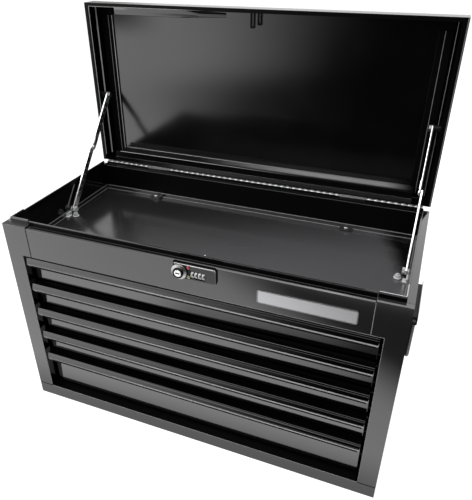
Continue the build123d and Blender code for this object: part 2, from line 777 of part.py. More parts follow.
# Lid: pan with folded returns, the wide one along the hinge cut short at its ends for the stays
mouth_x = half_width - lid_return
with BuildPart() as lid_shell:
    with BuildSketch(Plane.XZ.offset(-lid_rim_y)):
        with Locations((0, lid_mid_z)):
            Rectangle(body_width, lid_top_z - lid_bottom_z)
    extrude(amount=-lid_depth)
    fillet(lid_shell.faces().sort_by(Axis.Y)[-1].edges(), radius=lid_corner)
    with BuildSketch(Plane.XZ.offset(-lid_rim_y - sheet)):
        with Locations((0, lid_mid_z)):
            Rectangle(2 * inner_x, lid_top_z - lid_bottom_z - 2 * sheet)
    extrude(amount=2 * sheet - lid_depth, mode=Mode.SUBTRACT)
    with BuildSketch(Plane.XZ.offset(-lid_rim_y)):
        with Locations((0, lid_bottom_z + lid_rear_return)):
            mouth_height = lid_top_z - lid_return - lid_bottom_z - lid_rear_return
            Rectangle(2 * mouth_x, mouth_height, align=(Align.CENTER, Align.MIN))
        for side, sign in sides:
            with Locations((sign * (return_x + mouth_x) / 2, lid_bottom_z + sheet)):
                Rectangle(mouth_x - return_x, lid_rear_return, align=(Align.CENTER, Align.MIN))
    extrude(amount=-sheet, mode=Mode.SUBTRACT)
lid_shell.part.label = "lid_shell"
export_step(lid_shell.part, "parts/lid_shell.step")

# Stiffening strips along both ends of the lid panel
stiffener_x = half_width - stiffener_set_in - stiffener_width / 2
stiffener_bottom = lid_bottom_z + stiffener_end_gap
with BuildPart() as lid_stiffeners:
    with BuildSketch(Plane.XZ.offset(-lid_panel_y)):
        for side, sign in sides:
            with Locations((sign * stiffener_x, stiffener_bottom)):
                stiffener_length = lid_top_z - stiffener_top_gap - stiffener_bottom
                Rectangle(stiffener_width, stiffener_length, align=(Align.CENTER, Align.MIN))
    extrude(amount=stiffener_height)
    chamfer(lid_stiffeners.faces().group_by(Axis.Y)[0].edges(), length=stiffener_edge)
lid_stiffeners.part.label = "lid_stiffeners"
export_step(lid_stiffeners.part, "parts/lid_stiffeners.step")

# Striker hook on the front wall of the lid
hook_top = lid_top_z - sheet
hook_x = lock_x - hook_offset
with BuildPart() as lid_hook:
    with BuildSketch(Plane.YZ.offset(hook_x)):
        with Locations((lid_rim_y + hook_set_in, hook_top)):
            Rectangle(hook_sheet, hook_length, align=(Align.MIN, Align.MAX))
            Rectangle(hook_foot, hook_sheet, align=(Align.MIN, Align.MAX))
    extrude(amount=hook_width / 2, both=True)
    with BuildSketch(Plane.XZ.offset(-lid_rim_y - hook_set_in)):
        with Locations((hook_x, hook_top - hook_length / 2)):
            SlotOverall(hook_slot_length, hook_slot_width, rotation=90)
    extrude(amount=-hook_sheet, mode=Mode.SUBTRACT)
lid_hook.part.label = "lid_hook"
export_step(lid_hook.part, "parts/lid_hook.step")

# Stay arms, drawn along the straight line of the open stay
pivots = (
    ("lower", lower_inner_x, stay_pivot_y, stay_pivot_z, lower_length, 1),
    ("upper", upper_inner_x, lid_pivot_y, lid_pivot_z, upper_length, -1),
)
for side, sign in sides:
    for name, arm_x, pivot_y, pivot_z, arm_length, way in pivots:
        with BuildPart() as arm:
            with BuildSketch(Plane.YZ.offset(sign * (arm_x + arm_sheet / 2))):
                mid_y = (pivot_y + knuckle_y) / 2
                mid_z = (pivot_z + knuckle_z) / 2
                with Locations((mid_y, mid_z)):
                    SlotCenterToCenter(arm_length, arm_width, rotation=stay_angle)
                with Locations((pivot_y, pivot_z)):
                    Circle(stud_radius + running_gap, mode=Mode.SUBTRACT)
            extrude(amount=arm_sheet / 2, both=True)
            rivet_face = arm_x + arm_sheet if way > 0 else arm_x
            with BuildSketch(Plane.YZ.offset(sign * rivet_face)):
                with Locations((knuckle_y, knuckle_z)):
                    Circle(rivet_radius)
            extrude(amount=sign * way * rivet_height)
        arm.part.label = f"stay_{name}_{side}"
        export_step(arm.part, f"parts/stay_{name}_{side}.step")

# Stay studs: collar against the tray flange or the lid wall, stud through the arm, and a hexagonal nut
seats = (
    ("stay_studs_body", body_seat_x, lower_inner_x, stay_pivot_y, stay_pivot_z),
    ("stay_studs_lid", inner_x, upper_inner_x, lid_pivot_y, lid_pivot_z),
)
for name, wall_x, arm_x, pivot_y, pivot_z in seats:
    with BuildPart() as studs:
        for side, sign in sides:
            with BuildSketch(Plane.YZ.offset(sign * wall_x)):
                with Locations((pivot_y, pivot_z)):
                    Circle(collar_radius)
            extrude(amount=sign * (arm_x + arm_sheet + arm_layer_gap - wall_x))
            with BuildSketch(Plane.YZ.offset(sign * wall_x)):
                with Locations((pivot_y, pivot_z)):
                    Circle(stud_radius)
            extrude(amount=sign * (arm_x - arm_layer_gap - wall_x))
            with BuildSketch(Plane.YZ.offset(sign * (arm_x - arm_layer_gap))):
                with Locations((pivot_y, pivot_z)):
                    RegularPolygon(nut_radius, 6)
            extrude(amount=-sign * nut_height)
    studs.part.label = name
    export_step(studs.part, f"parts/{name}.step")
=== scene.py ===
import math

import bmesh
import bpy
from bpy.props import FloatProperty, FloatVectorProperty, IntProperty, PointerProperty
from mathutils import Matrix, Vector


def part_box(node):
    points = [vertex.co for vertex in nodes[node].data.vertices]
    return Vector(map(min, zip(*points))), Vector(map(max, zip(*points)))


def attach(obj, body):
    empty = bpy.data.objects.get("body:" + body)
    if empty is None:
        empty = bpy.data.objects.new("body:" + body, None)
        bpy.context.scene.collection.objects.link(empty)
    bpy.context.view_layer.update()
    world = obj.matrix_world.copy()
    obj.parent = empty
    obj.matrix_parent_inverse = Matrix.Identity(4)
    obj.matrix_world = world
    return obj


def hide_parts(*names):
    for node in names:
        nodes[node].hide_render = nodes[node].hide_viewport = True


bl_info = {
    "name": "Tool Chest",
    "version": (1, 0, 0),
    "blender": (4, 5, 0),
    "location": "View3D > Sidebar > Tool Chest",
    "description": "Finishes the packed tool chest and sets its stage",
    "category": "Object",
}

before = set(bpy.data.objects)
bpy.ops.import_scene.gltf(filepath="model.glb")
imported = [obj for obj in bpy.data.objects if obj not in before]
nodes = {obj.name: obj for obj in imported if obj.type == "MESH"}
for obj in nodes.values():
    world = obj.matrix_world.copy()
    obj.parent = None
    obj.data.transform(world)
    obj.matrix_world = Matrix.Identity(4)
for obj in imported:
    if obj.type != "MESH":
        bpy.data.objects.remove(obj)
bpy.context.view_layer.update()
SIDES = {"left": -1, "right": 1}
DRAWERS = range(1, 6)
DIALS = range(1, 5)
# Lengths in metres: sheet thicknesses, a drawer pull's lip, the frame's opening and a bead that carries a
# painted highlight.
LID_SHEET = 0.0012
DRAWER_SHEET = 0.0015
PULL_DROP = 0.0105
LIP_HEIGHT = 0.005
JAMB = 0.301
BEAD = 0.0006
MERGE = 0.00001
# Pivots of a lid stay in Y and Z.
STAY_FOOT, STAY_KNEE, STAY_HEAD = (0.0135, 0.337), (0.0981, 0.4356), (0.1705, 0.52)
GLOSS_IOR, DULL_IOR = 1.6, 1.15
ROLL, SEED = 0.6, 7
DIGITS = 10
# Yaw, pitch and roll in degrees, place in metres and shift of the lens.
CAMERA_TURN = (-22.042, 30.809, 0.459)
CAMERA_PLACE = (0.310226, -0.749463, 0.792734)
CAMERA_SHIFT = (0.02518, 0.00803)
SMOOTH_BELOW = math.radians(42)
ROUND_ABOVE = math.radians(40)


class Value:
    """One socket of a node tree; arithmetic on it adds Math nodes."""

    def __init__(self, tree, socket):
        self.tree = tree
        self.socket = socket

    def math(self, operation, *operands):
        return self.tree.add("ShaderNodeMath", {"operation": operation}, dict(enumerate(operands)))

    def __add__(self, other):
        return self.math("ADD", self, other)

    def __radd__(self, other):
        return self.math("ADD", other, self)

    def __sub__(self, other):
        return self.math("SUBTRACT", self, other)

    def __rsub__(self, other):
        return self.math("SUBTRACT", other, self)

    def __mul__(self, other):
        return self.math("MULTIPLY", self, other)

    def __rmul__(self, other):
        return self.math("MULTIPLY", other, self)

    def __truediv__(self, other):
        return self.math("DIVIDE", self, other)

    def __abs__(self):
        return self.math("ABSOLUTE", self)

    def most(self, other):
        return self.math("MAXIMUM", self, other)


class Tree:
    """A shader node tree that is filled from empty."""

    def __init__(self, tree):
        tree.nodes.clear()
        self.tree = tree

    def add(self, kind, settings=None, inputs=None, output=0):
        node = self.tree.nodes.new(kind)
        for name, setting in (settings or {}).items():
            if name == "stops":
                ramp = node.color_ramp.elements
                while len(ramp) < len(setting):
                    ramp.new(1.0)
                for element, (place, colour) in zip(ramp, setting):
                    element.position = place
                    element.color = colour
            else:
                setattr(node, name, setting)
        for name, given in (inputs or {}).items():
            if isinstance(given, Value):
                self.tree.links.new(given.socket, node.inputs[name])
            else:
                node.inputs[name].default_value = given
        return Value(self, node.outputs[output]) if node.outputs else None

    def coordinates(self, size=(1, 1, 1)):
        place = self.add("ShaderNodeTexCoord", output="Object")
        return self.add("ShaderNodeMapping", None, {"Vector": place, "Scale": size})

    def noise(self, vector, scale, detail=2.0):
        return self.add("ShaderNodeTexNoise", None, {"Vector": vector, "Scale": scale, "Detail": detail})

    def step(self, value, low, high):
        span = {"Value": value, "From Min": low, "From Max": high}
        return self.add("ShaderNodeMapRange", {"interpolation_type": "SMOOTHSTEP"}, span)

    def mix(self, factor, first, second):
        colours = {"Factor": factor, 6: first, 7: second}
        return self.add("ShaderNodeMix", {"data_type": "RGBA"}, colours, 2)

    def axes(self, kind="ShaderNodeTexCoord", output="Object"):
        place = self.add(kind, output=output)
        return [self.add("ShaderNodeSeparateXYZ", None, {"Vector": place}, i) for i in range(3)]

    def rays(self):
        kinds = ("Is Camera Ray", "Is Glossy Ray", "Is Transmission Ray")
        return [self.add("ShaderNodeLightPath", output=kind) for kind in kinds]

    def bump(self, height, strength, distance, below=None):
        sockets = {"Height": height, "Strength": strength, "Distance": distance}
        if below:
            sockets["Normal"] = below
        return self.add("ShaderNodeBump", None, sockets)

    def surface(self, sockets, share=None, other=None):
        shader = self.add("ShaderNodeBsdfPrincipled", None, sockets)
        if share:
            second = self.add("ShaderNodeBsdfPrincipled", None, other)
            shader = self.add("ShaderNodeMixShader", None, {0: share, 1: shader, 2: second})
        self.add("ShaderNodeOutputMaterial", None, {"Surface": shader})


class ChestFinishes(bpy.types.PropertyGroup):
    """Colours and gloss of the chest's finishes."""

    paint: FloatVectorProperty(
        name="Paint", description="Black enamel on the sheet metal",
        subtype="COLOR", size=4, min=0, max=1, default=(0.0024, 0.0024, 0.0025, 1),
    )
    paint_roughness: FloatProperty(
        name="Paint roughness", description="Blur of reflections in the enamel",
        subtype="FACTOR", min=0, max=1, default=0.06,
    )
    zinc: FloatVectorProperty(
        name="Zinc", description="Plated steel of stays and screws",
        subtype="COLOR", size=4, min=0, max=1, default=(0.74, 0.74, 0.75, 1),
    )
    tray: FloatVectorProperty(
        name="Tray", description="Satin enamel of the tray floor",
        subtype="COLOR", size=4, min=0, max=1, default=(0.022, 0.022, 0.023, 1),
    )
    # The runner colour is near black, as painted shade inside the carcass.
    runner: FloatVectorProperty(
        name="Runner", description="Oiled steel of the drawer runners",
        subtype="COLOR", size=4, min=0, max=1, default=(0.025, 0.025, 0.025, 1),
    )
    handle: FloatVectorProperty(
        name="Handle", description="Satin black of the side handles",
        subtype="COLOR", size=4, min=0, max=1, default=(0.014, 0.014, 0.015, 1),
    )
    plastic: FloatVectorProperty(
        name="Plastic", description="Black moulded plastic",
        subtype="COLOR", size=4, min=0, max=1, default=(0.02, 0.02, 0.021, 1),
    )
    chrome: FloatVectorProperty(
        name="Chrome", description="Plated parts of the lock",
        subtype="COLOR", size=4, min=0, max=1, default=(0.8, 0.8, 0.8, 1),
    )
    red: FloatVectorProperty(
        name="Red dot", description="Enamel of the upper dot on the lock",
        subtype="COLOR", size=4, min=0, max=1, default=(0.55, 0.03, 0.05, 1),
    )
    green: FloatVectorProperty(
        name="Green dot", description="Enamel of the lower dot on the lock",
        subtype="COLOR", size=4, min=0, max=1, default=(0.42, 0.5, 0.22, 1),
    )
    badge: FloatVectorProperty(
        name="Badge", description="Brushed metal of the bare badge plate",
        subtype="COLOR", size=4, min=0, max=1, default=(0.45, 0.45, 0.46, 1),
    )


class ChestSizes(bpy.types.PropertyGroup):
    """Sizes of the details that the finishes add."""

    fold_edge: FloatProperty(
        name="Fold edge", description="Rounding along the folded and cut edges of the sheet metal",
        unit="LENGTH", default=0.0005,
    )
    small_edge: FloatProperty(
        name="Small edge", description="Rounding along the edges of small fittings",
        unit="LENGTH", default=0.00025,
    )
    face_lean: FloatProperty(
        name="Face lean", description="How far a drawer face leans out at its foot",
        unit="LENGTH", default=0.0015,
    )
    pull_corner: FloatProperty(
        name="Pull corner", description="Rounding of the lower corners of a drawer pull",
        unit="LENGTH", default=0.0045,
    )
    knob_ridges: IntProperty(
        name="Knob ridges", description="Ridges round the rim of the lock knob", default=44,
    )
    digit_height: FloatProperty(
        name="Digit height", description="Height of the numbers on the lock dials",
        unit="LENGTH", default=0.0032,
    )


class StudioSettings(bpy.types.PropertyGroup):
    """Light, floor and camera of the stage."""

    floor_size: FloatProperty(
        name="Floor", description="Width of the pale floor", unit="LENGTH", default=40.0,
    )
    top_power: FloatProperty(
        name="Top light", description="Power of the soft light overhead", unit="POWER", default=26.0,
    )
    side_power: FloatProperty(
        name="Side light", description="Power of the soft light on the left", unit="POWER", default=14.0,
    )
    lens: FloatProperty(
        name="Lens", description="Focal length of the camera", default=38.465,
    )


def blank(name):
    """A new material and its empty node tree."""
    material = bpy.data.materials.new(name)
    material.use_nodes = True
    return material, Tree(material.node_tree)


def tint(colour, share):
    """A colour made darker or lighter."""
    return tuple(share * c for c in colour[:3]) + (1,)


def flat_grey(level):
    """A grey of some brightness."""
    return (level, level, level, 1)


def facing_up(tree):
    """Share of a sheet that lies flat."""
    return tree.step(tree.axes("ShaderNodeNewGeometry", "Normal")[2], 0.8, 0.95)


def crowned(tree):
    """Height of a ledge that falls away to the outside of the chest."""
    x, y, _ = tree.axes()
    up = facing_up(tree)
    ahead = tree.step(y, -0.1412, -0.1418)
    return up * (0.18 * y * ahead - 0.22 * abs(x) * (1 - ahead))


def leaning(middle, left, right):
    """A form for a drawer face that leans out at its foot, with a slope at each end."""
    def form(tree):
        x, _, z = tree.axes()
        return (middle - z) * (left + (right - left) * tree.step(x, -0.1, 0.28))
    return form


def fading(base, dull):
    """Painted shade: a share that dulls a drawer face towards the right, most of all under its pull."""
    def hollow(tree):
        x, _, z = tree.axes()
        return tree.step(x, -0.02, 0.2) * (dull + 0.2 * tree.step(z, base + 0.01, base + 0.034))
    return hollow


def inside_rim(tree):
    """Share of the rim between the corners, apart from its top edge."""
    x, y, z = tree.axes()
    across = abs(x)
    corner = tree.step(across, 0.2828, 0.2834) * tree.step(y, -0.1, -0.1002)
    ring = tree.step(across, 0.3199, 0.3196) * tree.step(y, -0.1424, -0.142)
    return ring * (1 - corner) * tree.step(z, 0.3891, 0.3887)


def back_wall(tree):
    """Share of the tray's walls that is at the back."""
    return tree.step(tree.axes()[1], 0.12, 0.13)


def enamel_black(name="enamel_black", form=None, hollow=None, gloss=GLOSS_IOR):
    """Gloss enamel with a faint orange peel; a form gives its height and a dull share the part that is dull.
    """
    finish = bpy.context.scene.chest_finishes
    material, tree = blank(name)
    place = tree.coordinates()
    cloud = tree.noise(place, 9.0, 3.0)
    peel = tree.noise(place, 420.0, 1.0)
    fleck = tree.noise(place, 1500.0, 1.0)
    tone = tint(finish.paint, 2.0)
    normal = tree.bump(peel, 0.04, 0.0003)
    if form:
        normal = tree.bump(form(tree), 1.0, 1.0, normal)
    coat = {
        "Base Color": tree.mix(tree.step(cloud, 0.35, 0.75), tuple(finish.paint), tone),
        "Roughness": finish.paint_roughness + 0.06 * cloud + 0.02 * fleck,
        "IOR": gloss,
        "Normal": normal,
    }
    dull = {"Base Color": tuple(finish.paint), "Roughness": 0.3 + 0.1 * cloud, "IOR": DULL_IOR}
    tree.surface(coat, hollow(tree) if hollow else None, dull)
    return material


def enamel_deep():
    """Dull black, darker than the gloss enamel: painted shade on folds, flats, hollows and insides, also used
    for the hook, the handle brackets and the ink of the dial numbers.
    """
    finish = bpy.context.scene.chest_finishes
    material, tree = blank("enamel_deep")
    place = tree.coordinates()
    cloud = tree.noise(place, 20.0, 3.0)
    grain = tree.noise(place, 1500.0, 1.0)
    deep = tint(finish.paint, 0.3)
    tree.surface({
        "Base Color": tree.mix(cloud, deep, tuple(finish.paint)),
        "Roughness": 0.2 + 0.15 * cloud,
        "IOR": 1.2,
        "Normal": tree.bump(grain, 0.05, 0.0002),
    })
    return material


def lid_enamel():
    """Gloss enamel of the lid, with a dull rim that carries painted highlight lines along its inner edge, and
    painted shade at the panel's top left.
    """
    finish = bpy.context.scene.chest_finishes
    material, tree = blank("lid_enamel")
    x, y, z = tree.axes()
    place = tree.coordinates()
    cloud = tree.noise(place, 9.0, 3.0)
    peel = tree.noise(place, 420.0, 1.0)
    tone = tint(finish.paint, 2.0)
    # The rim's painted highlight lines: its inner edges, and the outer fold on the right.
    side = abs(x) - 0.3212
    top = z - 0.6829
    outer = x - 0.3283
    upright = tree.step(side * side, 3e-7, 1e-7) * tree.step(top, 0.0005, 0.0) * tree.step(x, 0.1, 0.0)
    across = tree.step(top * top, 3e-7, 1e-7) * tree.step(side, 0.0005, 0.0) * tree.step(x, -0.08, -0.16)
    line = upright.most(across).most(0.5 * tree.step(outer * outer, 5e-7, 1e-7))
    gloss = {
        "Base Color": tree.mix(tree.step(cloud, 0.35, 0.75), tuple(finish.paint), tone),
        "Roughness": finish.paint_roughness + 0.05 + 0.06 * cloud,
        "IOR": GLOSS_IOR,
        "Normal": tree.bump(peel, 0.04, 0.0003),
    }
    dull = {
        "Base Color": tree.mix(line, tuple(finish.paint), flat_grey(0.55)),
        "Roughness": 0.3 + 0.1 * cloud,
        "IOR": DULL_IOR,
    }
    rim = tree.step(y, 0.1583, 0.158)
    # Painted shade: the panel's top left is dulled.
    shade = 0.8 * tree.step(z, 0.62, 0.668) * tree.step(x, -0.17, -0.285)
    tree.surface(gloss, rim.most(shade), dull)
    return material


def edge_grey(name, edge, left=0.2, right=0.2, start=-0.08, end=0.1):
    """Black enamel whose front edge, up to a depth, carries a painted highlight: a grey that varies from left
    to right.
    """
    finish = bpy.context.scene.chest_finishes
    material, tree = blank(name)
    place = tree.coordinates()
    cloud = tree.noise(place, 60.0, 3.0)
    x, y, _ = tree.axes()
    # Painted highlight: the edge up to the given depth turns grey.
    painted_highlight = tree.step(y + 0.0002 * cloud, edge + 0.0003, edge)
    grey = tree.mix(tree.step(x + 0.05 * cloud, start, end), flat_grey(left), flat_grey(right))
    tree.surface({
        "Base Color": tree.mix(painted_highlight, tuple(finish.paint), grey),
        "Roughness": finish.paint_roughness + 0.3 * painted_highlight,
        "IOR": GLOSS_IOR,
    })
    return material


def fold_grey():
    """Black enamel of the lid's rear fold, with painted highlights along two lines and a painted sheen
    towards the right.
    """
    finish = bpy.context.scene.chest_finishes
    material, tree = blank("fold_grey")
    x, y, _ = tree.axes()
    cloud = tree.noise(tree.coordinates(), 60.0, 3.0)
    # Painted sheen towards the right, where the painted highlight lines fade.
    painted_sheen = tree.step(x + 0.06 * cloud, -0.1, 0.16)
    front, back, middle = y - 0.1588, y - 0.1851, y - 0.176
    lines = tree.step(front * front, 6e-7, 2e-7) + tree.step(back * back, 1.2e-6, 4e-7)
    band = painted_sheen * tree.step(middle * middle, 0.00022, 0.0) * tree.step(x, 0.297, 0.24)
    painted_highlight = lines * (1 - painted_sheen) + 0.45 * band
    tree.surface({
        "Base Color": tree.mix(painted_highlight, tuple(finish.paint), flat_grey(0.7)),
        "Roughness": 0.3 + 0.2 * cloud,
        "IOR": 1.2,
    })
    return material


def strip_rubber():
    """Dull black of the strips on the lid."""
    finish = bpy.context.scene.chest_finishes
    material, tree = blank("strip_rubber")
    place = tree.coordinates()
    cloud = tree.noise(place, 30.0, 2.0)
    grain = tree.noise(place, 1600.0, 2.0)
    deep = tint(finish.paint, 0.2)
    tree.surface({
        "Base Color": tree.mix(cloud, tuple(finish.paint), deep),
        "Roughness": 0.6 + 0.15 * grain,
        "IOR": 1.12,
        "Normal": tree.bump(grain, 0.1, 0.0002),
    })
    return material


def tray_satin():
    """Satin enamel of the tray floor, lighter towards the right front as painted light and dark at its right
    end as painted shade.
    """
    finish = bpy.context.scene.chest_finishes
    material, tree = blank("tray_satin")
    place = tree.coordinates()
    cloud = tree.noise(place, 7.0, 3.0)
    streak = tree.noise(tree.coordinates((0.3, 1, 1)), 24.0, 4.0)
    fleck = tree.noise(place, 1300.0, 2.0)
    x, y, _ = tree.axes()
    # Painted light: the floor is lighter towards the right front and darker towards the left back.
    use = tree.step(0.8 * x - 1.2 * y + 0.08 * cloud, -0.21, 0.24)
    # Painted shade: the right end goes as dark as the paint.
    end = tree.step(x + 0.33 * y + 0.03 * streak, 0.345, 0.305)
    wear_and_painted_light = tint(finish.tray, 4.4)
    painted_shade_tone = tint(finish.tray, 0.75)
    tree.surface({
        "Base Color": tree.mix(end, tuple(finish.paint), tree.mix(use, painted_shade_tone, wear_and_painted_light)),
        "Roughness": 0.1 + 0.1 * streak + 0.03 * fleck,
        "IOR": 2.1,
        "Normal": tree.bump(fleck, 0.05, 0.0003),
    })
    return material


def runner_steel():
    """Dull steel of the drawer runners, near black as painted shade inside the carcass, with oiled patches.
    """
    finish = bpy.context.scene.chest_finishes
    material, tree = blank("runner_steel")
    cloud = tree.noise(tree.coordinates(), 45.0, 3.0)
    grain = tree.noise(tree.coordinates((1, 0.04, 1)), 900.0, 2.0)
    oiled = tint(finish.runner, 0.45)
    tree.surface({
        "Base Color": tree.mix(tree.step(cloud, 0.3, 0.7), tuple(finish.runner), oiled),
        "Metallic": 0.9,
        "Roughness": 0.42 + 0.16 * cloud + 0.06 * grain,
        "Normal": tree.bump(grain, 0.1, 0.0002),
    })
    return material


def hinge_knuckle(name, level):
    """Black leaf whose rolled knuckles carry a band of steel on top as a painted highlight, as bright as the
    level gives.
    """
    finish = bpy.context.scene.chest_finishes
    material, tree = blank(name)
    _, y, z = tree.axes()
    cloud = tree.noise(tree.coordinates(), 300.0, 3.0)
    # Painted highlight: a band of steel along the top of the knuckles.
    bare = tree.step(y, 0.1532, 0.1538) * tree.step(z + 0.0006 * cloud, 0.3846, 0.3851)
    steel = tint(finish.zinc, level)
    tree.surface({
        "Base Color": tree.mix(bare, tuple(finish.paint), steel),
        "Metallic": bare,
        "Roughness": 0.14 + 0.12 * cloud,
        "IOR": DULL_IOR,
    })
    return material


def zinc_plate(name="zinc_plate", metal=1.0):
    """Bright plated steel with faint drawing lines."""
    finish = bpy.context.scene.chest_finishes
    material, tree = blank(name)
    cloud = tree.noise(tree.coordinates(), 60.0, 3.0)
    grain = tree.noise(tree.coordinates((1, 0.06, 0.06)), 1800.0, 2.0)
    dull = tint(finish.zinc, 0.6)
    tree.surface({
        "Base Color": tree.mix(tree.step(cloud, 0.3, 0.75), tuple(finish.zinc), dull),
        "Metallic": metal,
        "Roughness": 0.2 + 0.16 * cloud + 0.06 * grain,
        "Normal": tree.bump(grain, 0.08, 0.0002),
    })
    return material


def stay_steel(name, start, end, cut):
    """Plated arm, dark beyond a cut in X as painted shade, with a spotted dark channel between two points in
    Y and Z as painted shade, lighter and less metallic towards its ends as painted light.
    """
    finish = bpy.context.scene.chest_finishes
    material, tree = blank(name)
    x, y, z = tree.axes()
    span = Vector(end) - Vector(start)
    way, length = span.normalized(), span.length
    along = (y - start[0]) * way[0] + (z - start[1]) * way[1]
    off = (z - start[1]) * way[0] - (y - start[0]) * way[1]
    beat = along.math("PINGPONG", along, 0.006)
    flat = tree.axes("ShaderNodeNewGeometry", "Normal")[0]
    inner = tree.step(abs(off), 0.0056, 0.0052) * tree.step(flat * flat, 0.7, 0.9)
    spot = tree.step(beat * beat + off * off, 5e-6, 3e-6)
    mid = along - 0.55 * length
    pale = tree.step(abs(mid), 0.25 * length, 0.5 * length)
    # Painted shade in the channel, lighter towards the arm's ends as painted light.
    dark = inner * (1 - 0.8 * spot) * (1 - 0.75 * pale)
    dark = dark.most(tree.step(x, cut, cut + 0.0004))
    cloud = tree.noise(tree.coordinates(), 60.0, 3.0)
    tree.surface({
        "Base Color": tree.mix(dark, tuple(finish.zinc), flat_grey(0.015)),
        "Metallic": (1 - dark) * (1 - 0.75 * inner * pale),
        "Roughness": 0.2 + 0.16 * cloud + 0.2 * dark,
    })
    return material


def stud_steel():
    """Blackened stud with a bright head on its inner end."""
    finish = bpy.context.scene.chest_finishes
    material, tree = blank("stud_steel")
    x = tree.axes()[0]
    cloud = tree.noise(tree.coordinates(), 200.0, 3.0)
    head = tree.step(abs(x) + 0.0005 * cloud, 0.3072, 0.3068)
    dull = tint(finish.zinc, 0.2)
    tree.surface({
        "Base Color": tree.mix(head, tuple(finish.handle), dull),
        "Metallic": head,
        "Roughness": 0.25 + 0.15 * cloud,
        "IOR": DULL_IOR,
    })
    return material


def handle_coat():
    """Satin coating of the handle bars."""
    finish = bpy.context.scene.chest_finishes
    material, tree = blank("handle_coat")
    place = tree.coordinates()
    cloud = tree.noise(place, 35.0, 3.0)
    grain = tree.noise(place, 900.0, 2.0)
    wear_and_painted_light = tint(finish.handle, 3.0)
    tree.surface({
        "Base Color": tree.mix(tree.step(cloud, 0.45, 0.8), tuple(finish.handle), wear_and_painted_light),
        "Roughness": 0.26 + 0.12 * cloud,
        "IOR": GLOSS_IOR,
        "Coat Weight": 0.3,
        "Normal": tree.bump(grain, 0.1, 0.0003),
    })
    return material


def moulded_black(name="moulded_black", gloss=GLOSS_IOR, edge=-1.0):
    """Moulded plastic with a fine grain, quite black and dull up to an edge in X, as painted shade."""
    finish = bpy.context.scene.chest_finishes
    material, tree = blank(name)
    place = tree.coordinates()
    cloud = tree.noise(place, 80.0, 2.0)
    grain = tree.noise(place, 2600.0, 2.0)
    pale = tint(finish.plastic, 1.8)
    painted_shade_side = tree.step(tree.axes()[0], edge + 0.0004, edge)
    tree.surface({
        "Base Color": tree.mix(painted_shade_side, tree.mix(cloud, tuple(finish.plastic), pale), tuple(finish.paint)),
        "Roughness": 0.24 + 0.1 * cloud + 0.5 * painted_shade_side,
        "IOR": gloss,
        "Normal": tree.bump(grain, 0.08, 0.0002),
    })
    return material


def chrome(name, roughness, level):
    """Plated metal of some brightness with hairline scratches."""
    finish = bpy.context.scene.chest_finishes
    plate = tint(finish.chrome, level)
    material, tree = blank(name)
    place = tree.coordinates()
    cloud = tree.noise(place, 240.0, 3.0)
    line = tree.noise(tree.coordinates((0.1, 1, 1)), 5200.0, 1.0)
    grey = tint(plate, 0.7)
    tree.surface({
        "Base Color": tree.mix(cloud, plate, grey),
        "Metallic": 1.0,
        "Roughness": roughness + 0.1 * cloud + 0.05 * line,
        "Normal": tree.bump(line, 0.05, 0.0001),
    })
    return material


def enamel(name, colour):
    """Gloss enamel of a small dot."""
    material, tree = blank(name)
    cloud = tree.noise(tree.coordinates(), 700.0, 2.0)
    deep = tint(colour, 0.75)
    tree.surface({
        "Base Color": tree.mix(cloud, tuple(colour), deep),
        "Roughness": 0.12 + 0.1 * cloud,
        "Coat Weight": 0.5,
    })
    return material


def badge_brushed():
    """Brushed plate with its grain along the rail."""
    finish = bpy.context.scene.chest_finishes
    material, tree = blank("badge_brushed")
    grain = tree.noise(tree.coordinates((0.02, 1, 1)), 3000.0, 2.0)
    cloud = tree.noise(tree.coordinates(), 40.0, 2.0)
    dark = tint(finish.badge, 0.72)
    tree.surface({
        "Base Color": tree.mix(grain, tuple(finish.badge), dark),
        "Metallic": 1.0,
        "Roughness": 0.3 + 0.12 * grain + 0.06 * cloud,
        "Normal": tree.bump(grain, 0.12, 0.0002),
    })
    return material


def finish_node(name, material, edge=None):
    """Gives a CAD node its material and, where wanted, rounded edges that catch the light."""
    node = nodes[name]
    if not node.material_slots:
        node.data.materials.append(material)
    for slot in node.material_slots:
        slot.material = material
    if edge:
        weld = node.modifiers.new("Merge corners", "WELD")
        weld.merge_threshold = MERGE
        bevel = node.modifiers.new("Round edges", "BEVEL")
        bevel.width = edge
        bevel.segments = 2
        bevel.limit_method = "ANGLE"
        bevel.angle_limit = ROUND_ABOVE
        bevel.harden_normals = True


def shared(make, *details):
    """A material by the name that its maker gives it, made on its first use."""
    name = details[0] if details else make.__name__
    return bpy.data.materials.get(name) or make(*details)


def sweep(rings):
    """Vertices and faces of a solid through rings of as many points each, closed at both ends."""
    count = len(rings[0])
    points = [point for ring in rings for point in ring]
    faces = [tuple(range(count)), tuple(range(len(points) - count, len(points)))]
    for start in range(0, len(points) - count, count):
        for i in range(count):
            j = (i + 1) % count
            faces.append((start + i, start + j, start + count + j, start + count + i))
    return points, faces


def inset(outline, distance):
    """A flat outline moved towards its inner side, which is on the left of its path."""
    moved = []
    for i, point in enumerate(outline):
        way = Vector(outline[(i + 1) % len(outline)]) - Vector(outline[i - 1])
        moved.append((point[0] - distance * way.y / way.length, point[1] + distance * way.x / way.length))
    return moved


def solid_mesh(name, points, faces):
    """A mesh with its faces outwards, smooth apart from its sharp edges."""
    mesh = bpy.data.meshes.new(name)
    mesh.from_pydata([tuple(point) for point in points], [], faces)
    solid = bmesh.new()
    solid.from_mesh(mesh)
    bmesh.ops.recalc_face_normals(solid, faces=solid.faces)
    solid.to_mesh(mesh)
    solid.free()
    mesh.shade_smooth()
    mesh.set_sharp_from_angle(angle=SMOOTH_BELOW)
    return mesh


def make_piece(name, points, faces, material, body, *replaced):
    """A solid piece that rides on a body and may stand for CAD nodes."""
    mesh = solid_mesh(name, points, faces)
    mesh.materials.append(material)
    piece = bpy.data.objects.new(name, mesh)
    bpy.context.scene.collection.objects.link(piece)
    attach(piece, body)
    if replaced:
        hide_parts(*replaced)
    return piece


